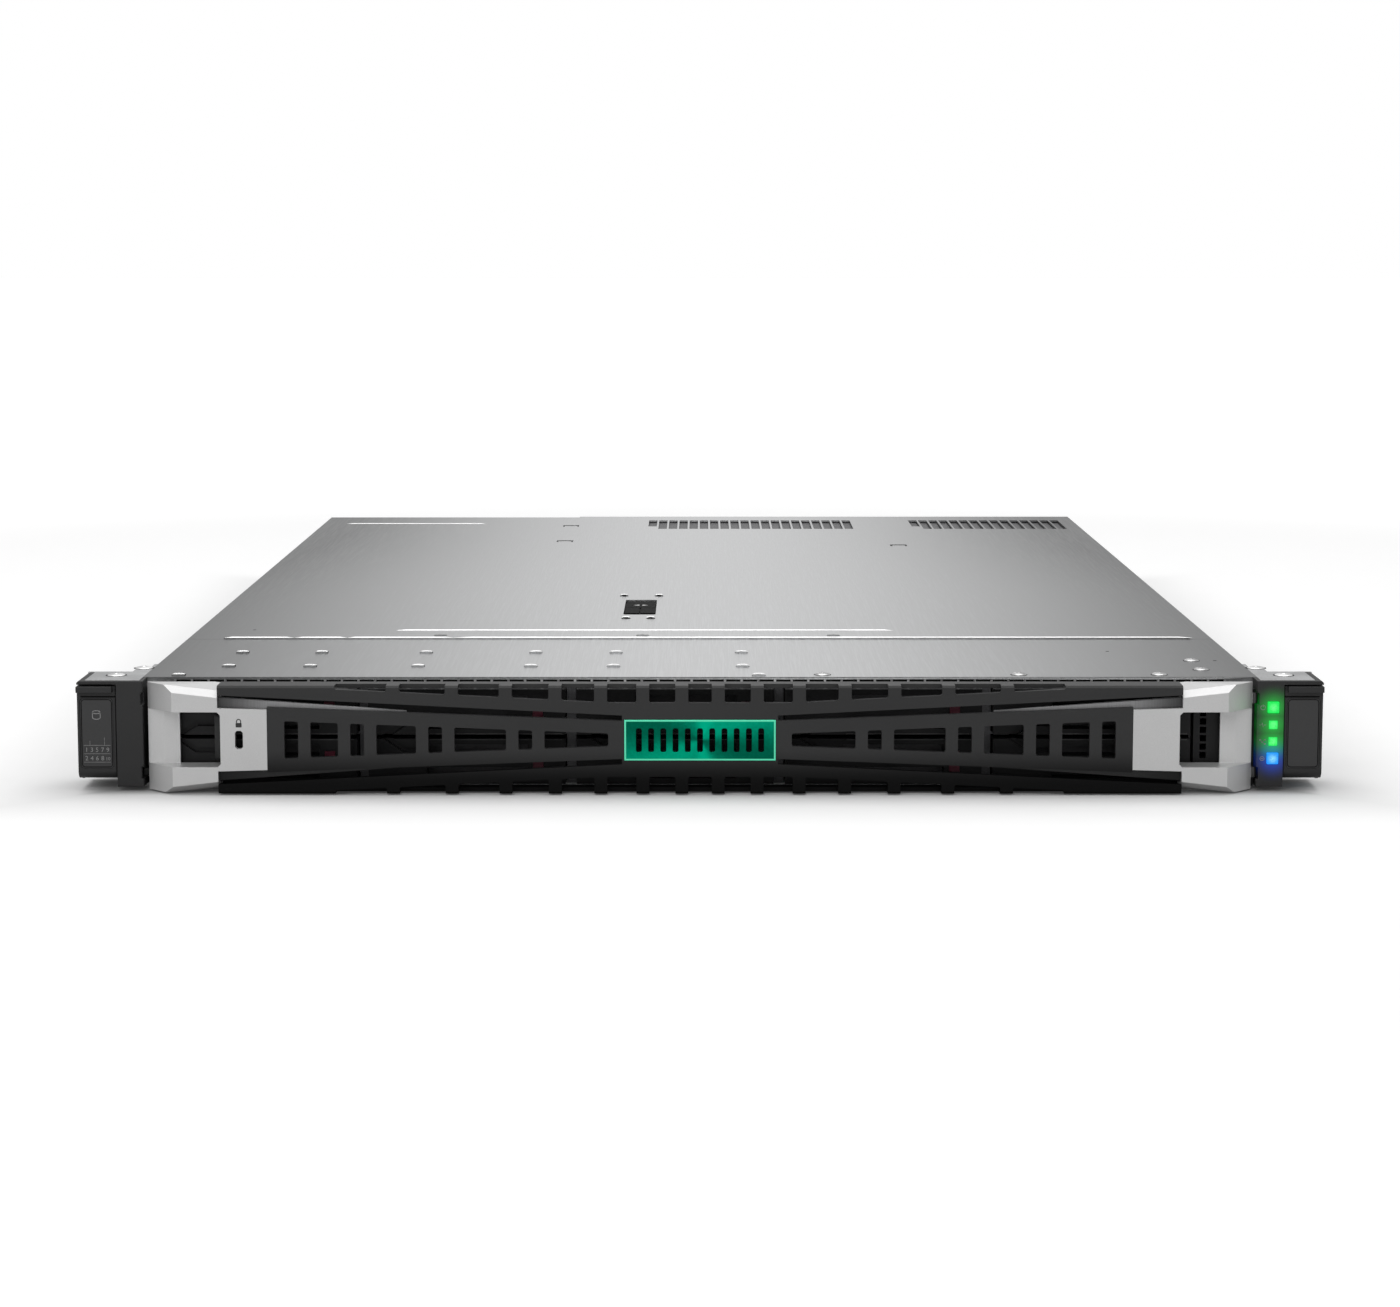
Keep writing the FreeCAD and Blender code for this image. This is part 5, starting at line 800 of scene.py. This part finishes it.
front_places = [(x, y) for x in (-188.0, -155.5, -112.5, -67.5, -34.5, 17.0) for y in (39.0, 81.0)]
latch_places = [(-35.7, 287.0), (-19.3, 287.0), (-33.0, 199.0), (-22.0, 199.0)]
lances("cover_lances", front_places + [(-204.0, 12.6), (23.0, 12.6)], "chassis", True)
lances("panel_lances", [(-111.0, 138.0), (-24.5, 138.0), (57.0, 138.0)], "access_panel", False)
lances("latch_lances", latch_places, "access_panel", True, 4.2)


def bead(x0, x1, y, radius, base=TOP):
    """Half-round ridge along x: its section is half a circle, and its height fades away at both ends."""
    along = np.linspace(x0, x1, 60)
    turn = np.linspace(0.0, math.pi, 9)
    fade = np.clip(np.minimum(along - x0, x1 - along) / (3 * MM), 0.05, 1.0)[:, None]
    points = np.stack([along[:, None] + 0 * turn, y - radius * np.cos(turn) + 0 * along[:, None],
                       base + radius * np.sin(turn) * fade], axis=2).reshape(-1, 3)
    return points, grid_faces(60, 9)


# Ridges on the panel: a broken one on the hem at the seam, a long one behind it and a short one at the rear
SEAM_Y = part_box("front_cover")[1][1] + 1.3 * MM
SEAM_BREAKS = (-202.0, -172.2, -149.6, -104.6, 209.0)
ridges = [bead(start * MM + 0.3 * MM, end * MM - 0.3 * MM, SEAM_Y, 0.45 * MM, TOP + 0.5 * MM)
          for start, end in zip(SEAM_BREAKS[:-1], SEAM_BREAKS[1:])]
ridges.append(bead(-131.4 * MM, 83.4 * MM, DRIVE_PLANE + 154.6 * MM, 0.42 * MM))
ridges.append(bead(-204.0 * MM, -124.0 * MM, DRIVE_PLANE + 655.0 * MM, 0.3 * MM))
# The ridges are in bright steel, partly a painted highlight
skin("panel_ridges", *gather(ridges), BRIGHT, "access_panel")

# Upright slots in the front flange of the cover: painted shade behind, with webs between them lighter as painted
# light
FLANGE_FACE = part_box("front_cover")[0][1]
FLANGE_MIDDLE = TOP - 2.0 * MM
SLOT_PITCH = 6.5 * MM
gaps = [tile(plate(x, FLANGE_MIDDLE, 5.5 * MM, 1.8 * MM, 0.2 * MM), FLANGE_FACE + 0.25 * MM)
        for x in SLOT_PITCH * np.arange(-31, 32)]
skin("flange_slot_shade", *gather(gaps), SHADOW, "chassis", False)
webs = [tile(plate(x, FLANGE_MIDDLE, 0.84 * MM, 2.2 * MM, 0.1 * MM), FLANGE_FACE)
        for x in SLOT_PITCH * (np.arange(-32, 32) + 0.5)]
skin("flange_webs_painted_light", *gather(webs), SCREW, "chassis", False)

# Small round holes in the covers, drawn as discs of painted shade
HOLE_SHADE = [(0.0001, 0.0), (0.00075, 0.00002), (0.00075, 0.00003), (0.0001, 0.00005)]
holes = [turned(HOLE_SHADE, 16, at(x, y, 0) + [0, 0, TOP]) for x, y in ((168, 84), (208, 55))]
skin("cover_holes", *gather(holes), SHADOW, "chassis", False)
skin("panel_hole", *turned(HOLE_SHADE, 16, at(-193, 156, 0) + [0, 0, TOP]), SHADOW, "access_panel", False)

# White arrows on the panel latch
(latch_left, _, _), (latch_right, _, LATCH_TOP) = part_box("panel_latch")
latch_x = 0.5 * (latch_left + latch_right)
arrow_parts = []
for side in (-1, 1):
    tip, root = latch_x + side * 3.4 * MM, latch_x + side * 0.7 * MM
    mid = DRIVE_PLANE + 250.5 * MM
    flat = np.array([(root, mid - 1.7 * MM), (tip, mid), (root, mid + 1.7 * MM)])
    if side < 0:
        flat = flat[::-1]
    levels = [np.column_stack([flat, np.full(3, LATCH_TOP + depth)]) for depth in (-0.00005, 0.00008)]
    arrow_parts.append((np.concatenate(levels), grid_faces(2, 3, True) + [[2, 1, 0], [3, 4, 5]]))
skin("latch_arrows", *gather(arrow_parts), WHITE_INK, "panel_latch", False)

# Painted highlights along the carriers' edges, seen through the bezel
highlight_parts = []
for bay in BAYS:
    low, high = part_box("drive_carrier_%d" % bay)
    level = high[2] - 0.35 * MM if low[2] < MIDDLE - 5 * MM else low[2] + 0.35 * MM
    edge = [(low[0] + 24 * MM, level), (high[0] - 1.2 * MM, level)]
    highlight_parts.append(ribbon(edge, 0.22 * MM, low[1], 0.00012))
skin("carrier_edges", *gather(highlight_parts), EDGE_HIGHLIGHT, "chassis", False)


# Marks and vents at the back

def from_behind(parts, rear):
    """Plates made for a face that looks to -Y, turned over onto one at the rear that looks to +Y."""
    return [(points * [1, -1, 1] + [0, 2 * rear, 0], [face[::-1] for face in faces])
            for points, faces in parts]


def slot_row(x0, x1, z0, z1, pitch, width, rear):
    """Upright slots of painted shade, side by side, on a face that looks to +Y."""
    count = int((x1 - x0) / pitch)
    first = 0.5 * (x0 + x1) - 0.5 * (count - 1) * pitch
    outlines = [plate(first + index * pitch, 0.5 * (z0 + z1), width, z1 - z0, width * 0.45)
                for index in range(count)]
    return from_behind([tile(outline, rear) for outline in outlines], rear)


for supply in SUPPLIES:
    (left, _, low), (right, case_rear, high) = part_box("psu_%d_case" % supply)
    rear, inset = case_rear + 2.5 * MM, 2.5 * MM
    vents = []
    for bottom in (high - 7.2 * MM, low + 1.8 * MM):
        vents += slot_row(left + inset, right - inset, bottom, bottom + 5.4 * MM, 2.6 * MM, 1.5 * MM, rear)
    skin("supply_vents_%d" % supply, *gather(vents), SHADOW, "psu_%d" % supply, False)
    lamp = tile(arc(right - 4.2 * MM, high - 11.5 * MM, 1.1 * MM, 0, 345, 20), rear, 0.0002)
    skin("supply_lamp_%d" % supply, *from_behind([lamp], rear)[0], WHITE_INK, "psu_%d" % supply, False)

# Port insides: a back of painted shade, with gold contacts in the two network ports and round pins in the serial
# one
TRAY_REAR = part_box("chassis_tray")[1][1]
PORT_BACK = TRAY_REAR - 9.0 * MM
NETWORK_PORTS = ((-86.0, 14.4, 12.6, 9.2), (-68.0, 14.4, 12.6, 9.2))
SERIAL_PORT = (-48.0, 12.7, 14.0, 5.8)
CONTACT_PITCH, PIN_PITCH = 1.05, 2.3
PIN = [(0.0001, 0.0), (0.45 * MM, 0.0), (0.45 * MM, 5.0 * MM), (0.0001, 5.3 * MM)]
dark, contacts, pins = [], [], []
for x, z, width, height in NETWORK_PORTS:
    dark.append(tile(plate(x * MM, z * MM, width * MM, height * MM, 0.4 * MM), PORT_BACK))
    for number in range(8):
        left = (x + (number - 3.5) * CONTACT_PITCH - 0.25) * MM
        right, low, high = left + 0.5 * MM, (z + 0.4) * MM, (z + height / 2) * MM
        contacts.append(tile([(left, low), (right, low), (right, high), (left, high)], PORT_BACK - 0.4 * MM))
x, z, width, height = SERIAL_PORT
dark.append(tile(plate(x * MM, z * MM, width * MM, height * MM, 0.4 * MM), PORT_BACK))
for row, count in ((0.9, 5), (-0.9, 4)):
    for number in range(count):
        across = (x + (number - (count - 1) / 2) * PIN_PITCH) * MM
        pins.append(turned(PIN, 10, (across, PORT_BACK, (z + row) * MM), "y"))
skin("port_backs", *gather(from_behind(dark, PORT_BACK)), SHADOW, "chassis", False)
skin("port_contacts", *gather(from_behind(contacts, PORT_BACK) + pins), GOLD, "chassis", False)

# Screw heads between the card slots
REAR_HEAD = [(2.0 * MM, -0.0001), (2.0 * MM, 0.5 * MM), (1.6 * MM, 0.9 * MM), (0.7 * MM, 1.0 * MM),
             (0.4 * MM, 0.4 * MM)]
rear_screws = [turned(REAR_HEAD, 20, (x * MM, TRAY_REAR, 13.0 * MM), "y")
               for x in (-22.0, 34.0, 86.5, 122.5, 166.0, 207.0)]
skin("rear_screws", *gather(rear_screws), SCREW, "chassis")


# Studio

def plane_mesh(name, corners, finish):
    """Makes one flat piece of the studio from its four corners."""
    mesh = bpy.data.meshes.new(name)
    mesh.from_pydata([list(corner) for corner in corners], [], [[0, 1, 2, 3]])
    mesh.materials.append(finish)
    thing = bpy.data.objects.new(name, mesh)
    scene.collection.objects.link(thing)


# White paper floor, grey under the object as painted shadow. To the eye and in reflections it glows, more with
# the distance, and less close round the foot of the object as a painted contact shadow; for all other rays it is
# dark, so that it throws little light back.
HALF_WIDTH, HALF_DEPTH = 0.2413, 0.3675
floor_finish = Finish("floor_paper", (0.84, 0.84, 0.84), 0.9, Specular_IOR_Level=0.1)
grain = floor_finish.noise(40.0, 2.0)
sheet = floor_finish.blend((0.83, 0.83, 0.83), (0.86, 0.86, 0.86), grain)
light_path = floor_finish.tree.nodes.new("ShaderNodeLightPath")
seen = Value(floor_finish, light_path.outputs["Is Camera Ray"])
seen = seen.maximum(Value(floor_finish, light_path.outputs["Is Glossy Ray"]))
seen = seen.maximum(Value(floor_finish, light_path.outputs["Is Transmission Ray"]))
away_x, away_y, _ = floor_finish.axes()
distance = (away_x * away_x + away_y * away_y).power(0.5)
gap = (away_x.absolute() - HALF_WIDTH).maximum(away_y.absolute() - HALF_DEPTH)
sheet_with_painted_shadow = floor_finish.blend((0.4, 0.4, 0.4), sheet, gap.step(-0.012, 0.0))
floor_finish.feed("Base Color", floor_finish.blend((0.25, 0.25, 0.25), sheet_with_painted_shadow, seen))
# Painted contact shadow: the glow falls close round the foot of the object
paper = seen * (0.02 + gap.step(-0.02, 0.075) * 0.25 + distance.step(0.75, 1.7) * 0.7)
floor_finish.feed("Emission Color", floor_finish.blend((0.0, 0.0, 0.0), (1.0, 1.0, 1.0), paper))
floor_finish.shader.inputs["Emission Strength"].default_value = 1.0
corners = [(-9, -6, -0.0002), (9, -6, -0.0002), (9, 9, -0.0002), (-9, 9, -0.0002)]
plane_mesh("floor", corners, floor_finish.material)


class Sky(Finish):
    """The studio round the object: white to the eye, soft white panels every 45 degrees in reflections."""

    def __init__(self, level):
        world = bpy.data.worlds.new("studio")
        scene.world = world
        world.use_nodes = True
        self.tree = world.node_tree
        self.tree.nodes.clear()
        output = self.tree.nodes.new("ShaderNodeOutputWorld")
        path = self.tree.nodes.new("ShaderNodeLightPath")
        camera_ray = Value(self, path.outputs["Is Camera Ray"])
        glossy_ray = Value(self, path.outputs["Is Glossy Ray"])
        x, y, z = self.axes(self.add("ShaderNodeTexCoord", {}, {}, "Generated"))
        turn = self.add("ShaderNodeMath", {"operation": "ARCTAN2"}, {0: x, 1: y})
        panel = (turn * (4.0 / math.pi) + 0.5).fraction() - 0.5
        panel = 1.0 - panel.absolute().step(0.02, 0.28)
        overhead = z.step(0.25, 0.7)
        reflected = 0.42 + panel * 0.72 + overhead * (0.16 - panel * 0.35)
        strength = camera_ray + (1.0 - camera_ray) * (glossy_ray * reflected + (1.0 - glossy_ray) * level)
        background = self.add("ShaderNodeBackground", {}, {0: (1.0, 1.0, 1.0, 1.0), 1: strength})
        self.tree.links.new(background.socket, output.inputs[0])


Sky(0.42)


def softbox(name, place, target, width, height, power):
    """Rectangular lamp that faces its target."""
    lamp = bpy.data.lights.new(name, "AREA")
    lamp.shape = "RECTANGLE"
    lamp.size = width
    lamp.size_y = height
    lamp.energy = power
    thing = bpy.data.objects.new(name, lamp)
    thing.location = place
    thing.rotation_euler = (Vector(target) - Vector(place)).to_track_quat("-Z", "Y").to_euler()
    scene.collection.objects.link(thing)


softbox("top_light", (0.0, 0.1, 2.2), (0.0, 0.0, 0.0), 2.4, 1.8, 26.0)
softbox("front_light", (-0.6, -2.6, 1.5), (0.0, -0.3, 0.0), 1.6, 1.2, 15.0)
